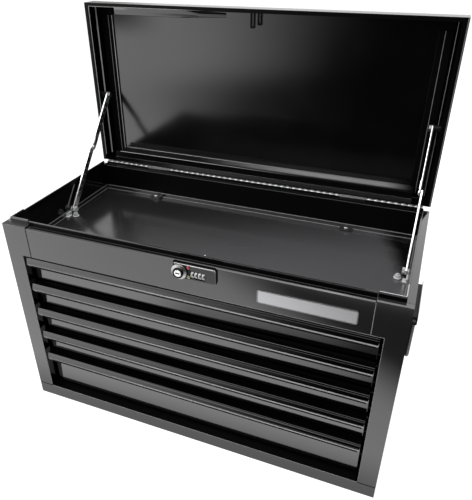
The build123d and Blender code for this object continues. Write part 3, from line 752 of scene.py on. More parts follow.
def round_turns(sides):
    """Angles of the corners of a round form."""
    return [2 * math.pi * i / sides for i in range(sides)]


def rod(first, last, radius, sides=12):
    """Rings of a round bar with softened ends between two points."""
    first, last = Vector(first), Vector(last)
    way = (last - first).normalized()
    across = way.orthogonal().normalized()
    up = way.cross(across)
    rings = []
    for start, along, share in ((first, 0.0, 0.6), (first, 0.4, 1), (last, -0.4, 1), (last, 0.0, 0.6)):
        rings.append([
            start + radius * (along * way + share * (math.cos(t) * across + math.sin(t) * up))
            for t in round_turns(sides)
        ])
    return rings


def joined(parts):
    """One list of points and one of faces from several solids."""
    points, faces = [], []
    for more_points, more_faces in parts:
        faces += [tuple(len(points) + i for i in face) for face in more_faces]
        points += more_points
    return points, faces


def rods(ways, radius):
    """Round bars, one for each pair of points."""
    return joined([sweep(rod(*ends, radius)) for ends in ways])


def prism(outline, levels):
    """An outline in X and Y that is carried through levels in Z."""
    return sweep([[(x, y, z) for x, y in outline] for z in levels])


def lathe(x, z, profile, sides=40):
    """Rings round a line along Y; the profile gives radius and Y."""
    turns = round_turns(sides)
    return [[(x + r * math.cos(t), y, z + r * math.sin(t)) for t in turns] for r, y in profile]


def rounded(low, high, corner, steps=5):
    """Outline of a rectangle with round corners, in X and Z."""
    outline = []
    for quarter, (x, z) in enumerate((
        (high[0] - corner, high[1] - corner), (low[0] + corner, high[1] - corner),
        (low[0] + corner, low[1] + corner), (high[0] - corner, low[1] + corner),
    )):
        for i in range(steps + 1):
            turn = math.pi / 2 * (quarter + i / steps)
            outline.append((x + corner * math.cos(turn), z + corner * math.sin(turn)))
    return outline


def hoop(outline, section):
    """A closed bar along a flat outline in X and Z; its section gives the way inwards and Y."""
    rings = [[(x, y, z) for x, z in inset(outline, step)] for step, y in section]
    count, points, faces = len(outline), [point for ring in rings for point in ring], []
    for k in range(len(rings)):
        near, far = k * count, (k + 1) % len(rings) * count
        for i in range(count):
            j = (i + 1) % count
            faces.append((near + i, near + j, far + j, far + i))
    return points, faces


def second_finish(piece, material, chosen):
    """Gives the chosen faces of a piece another material."""
    piece.data.materials.append(material)
    for face in piece.data.polygons:
        if chosen(face):
            face.material_index = len(piece.data.materials) - 1


def repeat_tree():
    """Geometry Nodes that set turned copies of a solid on points."""
    group = bpy.data.node_groups.new("Repeat", "GeometryNodeTree")
    kinds = {
        "Geometry": "NodeSocketGeometry", "Solid": "NodeSocketObject", "Roll": "NodeSocketFloat",
        "Seed": "NodeSocketInt", "Material": "NodeSocketMaterial",
    }
    for name, kind in kinds.items():
        group.interface.new_socket(name, in_out="INPUT", socket_type=kind)
    group.interface.new_socket("Geometry", in_out="OUTPUT", socket_type="NodeSocketGeometry")
    tree = Tree(group)
    given = {name: tree.add("NodeGroupInput", output=name) for name in kinds}
    turn = tree.add("GeometryNodeInputNamedAttribute", {"data_type": "FLOAT_VECTOR"}, {"Name": "turn"})
    solid = tree.add("GeometryNodeObjectInfo", None, {"Object": given["Solid"]}, "Geometry")
    spots = {"Points": given["Geometry"], "Instance": solid, "Rotation": turn}
    copies = tree.add("GeometryNodeInstanceOnPoints", None, spots)
    span = {0: (0, 0, -1), 1: (0, 0, 1), "Seed": given["Seed"]}
    chance = tree.add("FunctionNodeRandomValue", {"data_type": "FLOAT_VECTOR"}, span)
    roll = tree.add("ShaderNodeVectorMath", {"operation": "SCALE"}, {0: chance, "Scale": given["Roll"]})
    rolled = tree.add("GeometryNodeRotateInstances", None, {"Instances": copies, "Rotation": roll})
    real = tree.add("GeometryNodeRealizeInstances", None, {"Geometry": rolled})
    done = tree.add("GeometryNodeSetMaterial", None, {"Geometry": real, "Material": given["Material"]})
    tree.add("NodeGroupOutput", None, {"Geometry": done})
    return group


def repeat(name, solid, places, roll, material, body, *replaced):
    """One piece of copies of a solid, at places with turns and with a random roll."""
    master = bpy.data.objects.new(f"{name}_solid", solid_mesh(f"{name}_solid", *solid))
    spots = bpy.data.meshes.new(f"{name}_spots")
    spots.from_pydata([place for place, turn in places], [], [])
    turns = spots.attributes.new("turn", "FLOAT_VECTOR", "POINT")
    for item, (place, turn) in zip(turns.data, places):
        item.vector = turn
    piece = bpy.data.objects.new(name, spots)
    bpy.context.scene.collection.objects.link(piece)
    modifier = piece.modifiers.new("Repeat", "NODES")
    modifier.node_group = bpy.data.node_groups.get("Repeat") or repeat_tree()
    settings = {"Solid": master, "Roll": roll, "Seed": SEED, "Material": material}
    for item in modifier.node_group.interface.items_tree:
        if item.in_out == "INPUT" and item.name in settings:
            modifier[item.identifier] = settings[item.name]
    graph = bpy.context.evaluated_depsgraph_get()
    result = bpy.data.meshes.new_from_object(piece.evaluated_get(graph))
    piece.modifiers.clear()
    piece.data = result
    bpy.data.objects.remove(master)
    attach(piece, body)
    if replaced:
        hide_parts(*replaced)
    return piece


class FinishCarcass(bpy.types.Operator):
    """Paint the carcass, its frame and the open tray."""

    bl_idname = "tool_chest.finish_carcass"
    bl_label = "Carcass"

    def execute(self, context):
        sizes = context.scene.chest_sizes
        ledge = shared(enamel_black, "enamel_ledge", crowned, inside_rim)
        finishes = {
            "back_panel": shared(enamel_black),
            "bottom_rail": shared(enamel_black, "enamel_sill", None, facing_up),
            "top_rail": ledge,
            "base_pan": shared(enamel_deep),
            "tray_walls": shared(enamel_black, "enamel_wall", None, back_wall),
            "tray_floor": shared(tray_satin),
            "tray_pads": shared(moulded_black),
        }
        for side in SIDES:
            finishes[f"stile_{side}"] = finishes[f"side_panel_{side}"] = ledge
        for name, material in finishes.items():
            finish_node(name, material, sizes.fold_edge)
        finish_node("tray_bolts", shared(zinc_plate))
        # Grey rods along the tray's and the frame's edges: painted highlights.
        painted_highlight = shared(edge_grey, "bead_grey", 1.0)
        self.make_tray_beads(painted_highlight)
        self.make_frame_beads(painted_highlight)
        self.make_rim_beads()
        return {"FINISHED"}

    def make_tray_beads(self, paint):
        low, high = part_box("tray_floor")
        short = 0.003
        solids = []
        for drop, step, radius in ((0.0002, 0.0006, 0.0007), (0.0076, 0.0014, BEAD)):
            y, z = high.y - step, high.z - drop
            ways = []
            for sign in SIDES.values():
                x = sign * (high.x - step)
                ways.append(((x, low.y + short, z), (x, high.y - short, z)))
            ways.append(((low.x + short, y, z), (high.x - short, y, z)))
            solids.append(rods(ways, radius))
        make_piece("tray_beads", *joined(solids), paint, "carcass")

    def make_frame_beads(self, paint):
        rail_low, rail_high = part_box("top_rail")
        front, sill = rail_low.y + 0.0005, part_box("bottom_rail")[1].z
        seam, seam_top, outer = rail_high.x + 0.0003, 0.38, 0.329
        ways = [[(sign * JAMB, front, z) for z in (0.028, rail_low.z - 0.001)] for sign in SIDES.values()]
        ways.append([(x, front, sill - 0.0004) for x in (-JAMB, JAMB)])
        make_piece("frame_beads", *rods(ways, BEAD), paint, "carcass")
        ways = [[(x, front, rail_low.z) for x in (-JAMB, JAMB)]]
        ways.append([(seam, front, z) for z in (rail_low.z, seam_top)])
        # Painted highlight along the seams, lighter on the right.
        wear_and_painted_light = shared(edge_grey, "seam_grey", 1.0, 0.0005, 0.3)
        make_piece("rail_seams", *rods(ways, 0.0007), wear_and_painted_light, "carcass")
        ways = [[(-seam, front, z) for z in (rail_low.z, seam_top)]]
        ways += [[(sign * x, front, sill) for x in (JAMB, outer)] for sign in SIDES.values()]
        make_piece("foot_seams", *rods(ways, 0.001), shared(strip_rubber), "carcass")

    def make_rim_beads(self):
        start, rim, depth, crest = 0.2836, 0.3183, -0.1408, 0.3914
        ways = []
        for sign in SIDES.values():
            corner = (sign * rim, depth, crest)
            ways.append(((sign * start, depth, crest), corner))
            ways.append((corner, (sign * rim, depth + 0.03, crest)))
        # Painted highlight along the rim, lighter on the right.
        make_piece("rim_beads", *rods(ways, 0.0009), shared(edge_grey, "rim_grey", 1.0, 0.12, 0.6), "carcass")


class FinishDrawers(bpy.types.Operator):
    """Paint the drawers, fold their fronts and finish their runners."""

    bl_idname = "tool_chest.finish_drawers"
    bl_label = "Drawers"

    def execute(self, context):
        sizes = context.scene.chest_sizes
        paint = shared(enamel_black)
        steel = shared(runner_steel)
        for number in DRAWERS:
            self.make_front(number, paint, sizes)
            self.make_pull_edges(number)
            finish_node(f"drawer_front_{number}", paint)
            # Dull black boxes: painted shade inside the carcass.
            finish_node(f"drawer_box_{number}", shared(enamel_deep), sizes.fold_edge)
            finish_node(f"drawer_runner_{number}", steel)
        for side in SIDES:
            finish_node(f"runner_rack_{side}", steel)
        return {"FINISHED"}

    def make_front(self, number, paint, sizes):
        low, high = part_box(f"drawer_front_{number}")
        front, back, top, base = low.y, high.y, high.z, low.z
        foot = back - DRAWER_SHEET - sizes.face_lean
        lip = top - PULL_DROP
        outline = [
            (back, base), (back, top - 0.0008), (back - 0.0008, top), (front + 0.0034, top),
            (front + 0.0025, top - 0.00025), (front + 0.00195, top - 0.001),
            (front + 0.00142, top - 0.0034), (front + 0.00168, top - 0.0037), (front + 0.0013, top - 0.004),
            (front + 0.0003, lip + 0.0007), (front, lip + 0.0001), (front - 0.0002, lip - 0.0005),
            (front - 0.0002, lip - 0.0013), (front + 0.0001, lip - 0.002), (front + 0.0001, lip - 0.0035),
            (front + 0.0003, lip - 0.0045), (front + 0.0008, lip - 0.005), (front + 0.0013, lip - 0.0046),
            (front + 0.0015, lip - 0.004), (front + 0.0015, lip), (front + 0.0034, top - 0.0019),
            (front + 0.0042, top - DRAWER_SHEET), (back - 0.0034, top - DRAWER_SHEET),
            (back - 0.0021, top - 0.0021), (back - 0.0016, top - 0.0034), (foot, base + 0.0016),
            (foot + 0.0002, base + 0.0006), (foot + 0.0008, base),
        ]
        rings = []
        corner = sizes.pull_corner
        for turn, shrink in ((90, 0.0005), (84, 0.0002), (75, 0.00005), (60, 0), (40, 0), (20, 0), (0, 0)):
            angle = math.radians(turn)
            reach = corner * (1 - math.sin(angle))
            kept = 1 - corner * (1 - math.cos(angle)) / LIP_HEIGHT
            ring = []
            for y, z in inset(outline, shrink):
                if z < lip and y < front + 0.002:
                    z = lip + kept * (z - lip)
                ring.append((low.x + reach, y, z))
            rings.append(ring)
        rings += [[(low.x + high.x - x, y, z) for x, y, z in ring] for ring in reversed(rings)]
        node, body = f"drawer_front_{number}", f"drawer_{number}"
        piece = make_piece(f"folded_front_{number}", *sweep(rings), paint, body, node)
        form = leaning((base + top) / 2, 0.27, min(0.245, 0.3 - 0.03 * number))
        # Painted shade: the face is dulled towards the right, most of all under its pull.
        pull_shade = fading(base, 0.05 * number - 0.1) if number > 1 else None
        face = enamel_black(f"enamel_face_{number}", form, pull_shade, 1.75)
        deep = shared(enamel_deep)
        wear_and_painted_light = shared(edge_grey, "lip_grey", 1.0, 0.09, 0.55, -0.24, 0.02)
        crease = lip - 0.0034
        second_finish(piece, face, lambda side: side.normal.y < -0.9 and side.center.y > front + 0.01)
        # Painted shade: the pull's flat top is dull black.
        second_finish(piece, deep, lambda side: side.normal.z > 0.9 and side.center.z > top - 0.001)
        # Painted highlight: a grey band along the upper part of the lip, lighter on the right.
        second_finish(piece, wear_and_painted_light, lambda side: crease < side.center.z < lip and side.normal.y < -0.5)
        # Painted shade: the lip's lower part is dull black.
        second_finish(piece, deep, lambda side: lip - 0.006 < side.center.z < crease)

    def make_pull_edges(self, number):
        low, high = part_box(f"drawer_front_{number}")
        front, top, lip, body = low.y, high.z, high.z - PULL_DROP, f"drawer_{number}"
        creases = []
        # Dark rods: painted shade in the pull's crease and under its lip.
        for depth, drop, radius in ((0.0003, 0.0031, 0.0005), (0.0006, 0.0049, 0.0008)):
            ends = [(x, front + depth, lip - drop) for x in (low.x + 0.008, high.x - 0.003)]
            creases.append(rods([ends], radius))
        make_piece(f"pull_creases_{number}", *joined(creases), shared(strip_rubber), body)
        ways = []
        # Grey rods along the pull's ends: painted highlights.
        for x in (low.x + 0.0004, high.x - 0.0004):
            bend = ((front + 0.0036, top - 0.0003), (front + 0.0003, lip), (front + 0.0004, lip - 0.0008))
            stops = [(x, y, z) for y, z in bend]
            ways += zip(stops, stops[1:])
        make_piece(f"pull_ends_{number}", *rods(ways, BEAD), shared(edge_grey, "bead_grey", 1.0), body)


class FinishLid(bpy.types.Operator):
    """Paint the lid with its strips, hook and hinge."""

    bl_idname = "tool_chest.finish_lid"
    bl_label = "Lid and hinge"

    def execute(self, context):
        sizes = context.scene.chest_sizes
        paint = shared(enamel_black)
        zinc = shared(zinc_plate)
        finish_node("lid_shell", shared(lid_enamel), sizes.fold_edge)
        finish_node("lid_stiffeners", shared(strip_rubber), sizes.fold_edge)
        # Painted highlights: bright on the body leaf's knuckles, a darker copy on the lid leaf's.
        finish_node("hinge_body_leaf", hinge_knuckle("lit_knuckle", 0.48), sizes.small_edge)
        finish_node("hinge_lid_leaf", hinge_knuckle("dim_knuckle", 0.2), sizes.small_edge)
        finish_node("hinge_sleeves", shared(moulded_black), sizes.small_edge)
        finish_node("hinge_pin", zinc)
        finish_node("lid_hook", paint, sizes.small_edge)
        self.make_hook()
        self.make_liners()
        self.make_beads(paint)
        return {"FINISHED"}

    def make_hook(self):
        low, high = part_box("lid_hook")
        wire, near, far = 0.003, low.y, low.y + 0.0035
        outline = rounded((low.x, low.z - 0.003), (high.x - 0.0015, high.z), 0.002)
        loop = hoop(outline, [
            (0.0003, near), (0.0, near + 0.0004), (0.0, far),
            (wire, far), (wire, near + 0.0004), (wire - 0.0003, near),
        ])
        left, right, front = low.x + 0.001, high.x - 0.003, near + 0.001
        foot = [(left, front), (right, front), (right, high.y), (left, high.y)]
        plate = prism(foot, (high.z - 0.002, high.z))
        make_piece("hook_loop", *joined([loop, plate]), shared(enamel_deep), "lid", "lid_hook")

    def make_liners(self):
        low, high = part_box("lid_shell")
        panel, mouth, rear = high.y - LID_SHEET, low.y + 0.0145, low.z + 0.012
        solids = []
        for sign in SIDES.values():
            outer = sign * (high.x - LID_SHEET)
            inner = sign * (high.x - 0.0145)
            bead = 0.0022 if sign < 0 else 0.001
            outline = [
                (outer, panel), (outer, mouth + 0.003), (inner + sign * bead, mouth + 0.003),
                (inner + sign * (bead - 0.0001), mouth + 0.0003), (inner + sign * (bead - 0.0003), mouth),
                (inner + sign * 0.0006, mouth), (inner + sign * 0.0002, mouth + 0.0003),
                (inner, mouth + 0.0011), (inner, panel),
            ]
            solids.append(prism(outline, (rear, high.z - 0.0075)))
        # Painted highlight along the liners' front edge, lighter on the left.
        painted_highlight = shared(edge_grey, "liner_edge", mouth + 0.0011, 0.6, 0.2)
        make_piece("lid_liners", *joined(solids), painted_highlight, "lid")
        solids = []
        for sign in SIDES.values():
            strip = ((0.3245, 0), (0.3245, LID_SHEET), (0.3207, LID_SHEET), (0.3207, 0))
            outline = [(sign * x, low.y + y) for x, y in strip]
            solids.append(prism(outline, (rear, high.z - 0.006)))
        make_piece("lid_returns", *joined(solids), shared(lid_enamel), "lid")

    def make_beads(self, paint):
        low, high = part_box("lid_stiffeners")
        shell_low, shell_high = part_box("lid_shell")
        face, panel = low.y, shell_high.y - LID_SHEET
        beads = []
        # Grey rods along the strips: painted highlights, lighter on the left.
        lines = ((-0.2906, 0.0006, 0.0009), (-0.2985, 0.0001, 0.0003), (0.3004, 0.0003, 0.0007))
        for x, depth, radius in lines:
            ends = [(x, face + depth, z) for z in (low.z + 0.001, high.z - 0.001)]
            beads.append(rods([ends], radius))
        make_piece("strip_beads", *joined(beads), shared(edge_grey, "bead_edge", face, 0.7, 0.2), "lid")
        rib = [(shell_high.z - drop, y) for drop, y in (
            (0.0078, 0.0), (0.009, -0.0022), (0.0205, -0.0026), (0.0215, -0.0022), (0.0225, 0.0),
        )]
        middle = shell_high.z - 0.015
        taper = ((-0.2885, 0.35), (-0.287, 0.75), (-0.2835, 1), (-0.15, 1), (-0.11, 0.5), (-0.06, 0.05))
        rings = []
        for x, share in taper:
            width = 0.5 + 0.5 * share
            rings.append([(x, panel + share * y, middle + width * (z - middle)) for z, y in rib])
        make_piece("lid_folds", *sweep(rings), paint, "lid")
        base, front = 0.408, shell_low.y + 0.0005
        strip = [(front, base), (front, 0.4088), (panel, 0.4094), (panel, base)]
        fold = sweep([[(x, y, z) for y, z in strip] for x in (-0.287, 0.297)])
        # Painted highlights and a painted sheen along the rear fold.
        make_piece("lid_seam", *fold, shared(fold_grey), "lid")
        # Black plates at the top corners of the lid: painted shade.
        pads = []
        inner, outer = 0.289, 0.3286
        for sign in SIDES.values():
            corners = ((inner, panel), (outer, panel), (outer, face), (inner, face))
            pads.append(prism([(sign * x, y) for x, y in corners], (high.z, shell_high.z - LID_SHEET)))
        make_piece("lid_pads", *joined(pads), shared(strip_rubber), "lid")


class FinishStays(bpy.types.Operator):
    """Plate the folding lid stays and their studs."""

    bl_idname = "tool_chest.finish_stays"
    bl_label = "Lid stays"

    def execute(self, context):
        sizes = context.scene.chest_sizes
        zinc = shared(zinc_plate)
        spans = {"lower": (STAY_FOOT, STAY_KNEE), "upper": (STAY_KNEE, STAY_HEAD)}
        for side, sign in SIDES.items():
            for arm, (start, end) in spans.items():
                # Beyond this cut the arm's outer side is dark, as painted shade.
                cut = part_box(f"stay_{arm}_right")[1].x - 0.0018
                steel = shared(stay_steel, f"stay_{arm}_steel", start, end, cut)
                finish_node(f"stay_{arm}_{side}", steel, sizes.small_edge)
            self.make_clip(side, sign, spans["upper"], zinc)
        # Zinc that is not metallic, so that it reads light: a painted highlight on the stay feet and the
        # body's studs.
        bright = shared(zinc_plate, "zinc_bright", 0.0)
        finish_node("stay_studs_body", bright, sizes.small_edge)
        finish_node("stay_studs_lid", shared(stud_steel), sizes.small_edge)
        self.make_feet(bright)
        return {"FINISHED"}

    def make_clip(self, side, sign, span, zinc):
        start, end = (Vector((0, *point)) for point in span)
        way = (end - start).normalized()
        across = Vector((0, -way.z, way.y))
        half, wide = 0.007, 0.005
        rings = []
        for x, share in ((0.3074, 1), (0.3062, 1), (0.3059, 0.92)):
            middle = start + 0.012 * way + Vector((sign * x, 0, 0))
            corners = ((-half, -wide), (half, -wide), (half, wide), (-half, wide))
            rings.append([middle + share * (a * way + b * across) for a, b in corners])
        make_piece(f"stay_clip_{side}", *sweep(rings), zinc, f"stay_upper_{side}")

    def make_feet(self, zinc):
        tabs = (
            (0.3143, -0.001, 0.3325, (0.0012, 0.008, 0.0032)),
            (0.3115, -0.005, 0.3302, (0.0035, 0.006, 0.0009)),
        )
        nut = ((0.006, 20, 0.3298, 0.3307), (0.0046, 6, 0.3305, 0.3352), (0.0022, 12, 0.335, 0.3372))
        solids = []
        for sign in SIDES.values():
            for x, y, z, size in tabs:
                corners = ((-1, -1), (1, -1), (1, 1), (-1, 1))
                outline = [(sign * (x + a * size[0]), y + b * size[1]) for a, b in corners]
                solids.append(prism(outline, (z - size[2], z + size[2])))
            for radius, sides, foot, head in nut:
                turns = round_turns(sides)
                ring = [(sign * 0.3 + radius * math.cos(t), 0.0015 + radius * math.sin(t)) for t in turns]
                solids.append(prism(ring, (foot, head)))
        make_piece("stay_feet", *joined(solids), zinc, "carcass")


class FinishLock(bpy.types.Operator):
    """Finish the combination lock."""

    bl_idname = "tool_chest.finish_lock"
    bl_label = "Lock"

    def execute(self, context):
        sizes = context.scene.chest_sizes
        finish = context.scene.chest_finishes
        rolled = shared(chrome, "dial_plating", 0.3, 0.42)
        zinc = shared(zinc_plate)
        plastic = shared(moulded_black)
        for name in ("lock_knob", "key_cylinder", "red_dot", "green_dot"):
            finish_node(name, plastic, sizes.fold_edge)
        # Painted shade: the plate is black and dull on its left, up to this edge in X.
        finish_node("lock_plate", shared(moulded_black, "plate_black", 1.4, 0.0176), sizes.fold_edge)
        finish_node("lock_case", zinc)
        finish_node("lock_cam", zinc)
        for number in DIALS:
            finish_node(f"dial_{number}", rolled, sizes.fold_edge)
            self.make_numbers(number, shared(enamel_deep), sizes)
        self.make_knob(sizes)
        self.make_dot("red_dot", shared(enamel, "dot_red", finish.red))
        self.make_dot("green_dot", shared(enamel, "dot_green", finish.green))
        self.make_bezel("lock_plate", 0.003, plastic)
        self.make_gasket()
        self.make_trim()
        finish_node("badge_plate", shared(badge_brushed), sizes.small_edge)
        self.make_bezel("badge_plate", 0.003, plastic)
        x, y, foot, tip = 0.033, -0.1368, 0.3835, 0.3905
        make_piece("lock_pin", *rods([[(x, y, foot), (x, y, tip)]], 0.0012), zinc, "carcass")
        return {"FINISHED"}

    def make_knob(self, sizes):
        low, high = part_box("lock_knob")
        x, z = (low.x + high.x) / 2, (low.z + high.z) / 2
        back, front = high.y, low.y
        rim = shared(chrome, "knob_plating", 0.3, 0.4)
        flange = 0.0123
        profile = [
            (0.006, back), (0.006, front + 0.0074), (0.0119, front + 0.0074), (flange, front + 0.0071),
            (flange, front + 0.0047), (0.0119, front + 0.0043), (0.0087, front + 0.0041),
            (0.0084, front + 0.0038), (0.0084, front + 0.0004), (0.0081, front), (0.0067, front),
            (0.0064, front + 0.0004), (0.0059, front + 0.0005), (0.0059, front + 0.006),
        ]
        knob = make_piece("ridged_knob", *sweep(lathe(x, z, profile)), rim, "lock_knob", "lock_knob")
        # Painted shade: the knob's boss and ring in front of the flange are dull black.
        second_finish(knob, shared(enamel_deep), lambda face: face.center.y < front + 0.0039)
        root, crest = flange - 0.0002, flange + 0.0003
        tooth = ((root, -0.0004), (crest, -0.00015), (crest, 0.00015), (root, 0.0004))
        ridge = [[(r, y, across) for r, across in tooth] for y in (front + 0.0071, front + 0.0047)]
        places = [((x, 0, z), (0, turn, 0)) for turn in round_turns(sizes.knob_ridges)]
        repeat("knob_ridges", sweep(ridge), places, 0.0, rim, "lock_knob")
        face = [(0.0057, front + 0.006), (0.0057, front + 0.0005), (0.0054, front + 0.0001)]
        bright = shared(chrome, "key_plating", 0.4, 1.0)
        make_piece("key_face", *sweep(lathe(x, z, face)), bright, "key_cylinder", "key_cylinder")
        # Painted shade: a thin dark plate stands for the key's slot.
        slot = [(x + a * 0.0034, z + b * 0.0011) for a, b in ((1, 1), (-1, 1), (-1, -1), (1, -1))]
        rings = [[(a, y, b) for a, b in slot] for y in (front + 0.0004, front)]
        make_piece("key_slot", *sweep(rings), shared(enamel_deep), "key_cylinder")

    def make_dot(self, node, material):
        low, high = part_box(node)
        x, z, radius = (low.x + high.x) / 2, (low.z + high.z) / 2, (high.x - low.x) / 2
        shape = ((1.2, 0.0), (1.2, 0.0005), (0.95, 0.001), (0.4, 0.0013))
        dome = [(share * radius, high.y - rise) for share, rise in shape]
        make_piece(f"{node}_dome", *sweep(lathe(x, z, dome, 24)), material, "carcass", node)

    def make_bezel(self, node, corner, material):
        low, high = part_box(node)
        outline = rounded((low.x, low.z), (high.x, high.z), corner)
        radius, depth = 0.0008, low.y + 0.0006
        turns = [math.pi / 4 * i for i in range(8)]
        section = [(radius - radius * math.cos(t), depth - radius * math.sin(t)) for t in turns]
        make_piece(f"{node}_bezel", *hoop(outline, section), material, "carcass")

    def make_gasket(self):
        low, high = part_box("lock_plate")
        # Painted shadow: a dull black outline round the lock plate.
        outline = rounded((low.x - 0.0016, low.z - 0.0016), (high.x + 0.0006, high.z + 0.0026), 0.004)
        back, front = high.y, high.y - 0.0006
        section = [(0.0, back), (0.0003, front), (0.0032, front), (0.0035, back)]
        make_piece("lock_gasket", *hoop(outline, section), shared(strip_rubber), "carcass")

    def make_trim(self):
        low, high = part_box("lock_plate")
        way = [(low.x + 0.002, high.z - 0.0006), (high.x - 0.0032, high.z - 0.0006),
               (high.x - 0.0014, high.z - 0.0014), (high.x - 0.0006, high.z - 0.0034)]
        ends = [(x, low.y + 0.0002, z) for x, z in way]
        plated = shared(chrome, "trim_plating", 0.3, 0.5)
        make_piece("lock_trim", *rods(zip(ends, ends[1:]), 0.0007), plated, "carcass")

    def make_numbers(self, number, ink, sizes):
        low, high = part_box(f"dial_{number}")
        middle = (low + high) / 2
        radius = (high.z - low.z) / 2
        solids = []
        for digit in range(DIGITS):
            letter = bpy.data.curves.new(f"number_{digit}", "FONT")
            letter.body = str(digit)
            letter.size = 1.4 * sizes.digit_height
            letter.align_x = letter.align_y = "CENTER"
            letter.extrude = 0.00008
            source = bpy.data.objects.new(f"number_{digit}", letter)
            flat = bpy.data.meshes.new_from_object(source)
            points = []
            for vertex in flat.vertices:
                turn = math.radians(360 / DIGITS * digit) + vertex.co.y / radius
                reach = radius + vertex.co.z
                points.append((
                    middle.x + vertex.co.x,
                    middle.y - reach * math.cos(turn),
                    middle.z + reach * math.sin(turn),
                ))
            solids.append((points, [tuple(face.vertices) for face in flat.polygons]))
            bpy.data.objects.remove(source)
        make_piece(f"dial_numbers_{number}", *joined(solids), ink, f"dial_{number}")


class FinishHandles(bpy.types.Operator):
    """Finish the drop handles on both ends."""

    bl_idname = "tool_chest.finish_handles"
    bl_label = "Side handles"

    def execute(self, context):
        sizes = context.scene.chest_sizes
        satin = shared(handle_coat)
        for side in SIDES:
            finish_node(f"handle_bracket_{side}", shared(enamel_deep), sizes.fold_edge)
            finish_node(f"handle_bail_{side}", satin)
        finish_node("handle_screws", shared(zinc_plate), sizes.small_edge)
        self.make_screws()
        self.make_outlines()
        return {"FINISHED"}

    def make_outlines(self):
        ways = []
        for side, sign in SIDES.items():
            low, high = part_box(f"handle_bracket_{side}")
            inner, outer = sorted((abs(low.x), abs(high.x)))
            for x in (inner + 0.002, outer - 0.0008):
                ways.append([(sign * x, y, high.z) for y in (low.y + 0.002, high.y - 0.002)])
        # Painted highlights along the brackets' top edges.
        wear_and_painted_light = shared(edge_grey, "bracket_grey", 1.0, 0.3, 0.45)
        make_piece("bracket_edges", *rods(ways, BEAD), wear_and_painted_light, "carcass")

    def make_screws(self):
        low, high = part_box("handle_screws")
        seat, radius = high.x - 0.0012, 0.003
        places = []
        for sign in SIDES.values():
            for y in (low.y + radius, high.y - radius):
                for z in (low.z + radius, high.z - radius):
                    places.append(((sign * seat, y, z), (0, sign * math.pi / 2, 0)))
        turns = round_turns(20)
        dome = ((radius, -0.001), (radius, 0.0003), (0.9 * radius, 0.0007), (0.6 * radius, 0.001))
        head = sweep([[(r * math.cos(t), r * math.sin(t), z) for t in turns] for r, z in dome])
        zinc = shared(zinc_plate)
        repeat("screw_heads", head, places, ROLL, zinc, "carcass", "handle_screws")
        # Painted shade: dark crosses on the screw heads stand for their recesses.
        arm, half = 0.0014, 0.00035
        cross = [(arm, half), (half, half), (half, arm), (-half, arm), (-half, half), (-arm, half)]
        cross += [(-x, -y) for x, y in cross]
        recess = prism(cross, (0.0008, 0.00104))
        repeat("screw_recesses", recess, places, ROLL, shared(moulded_black), "carcass")


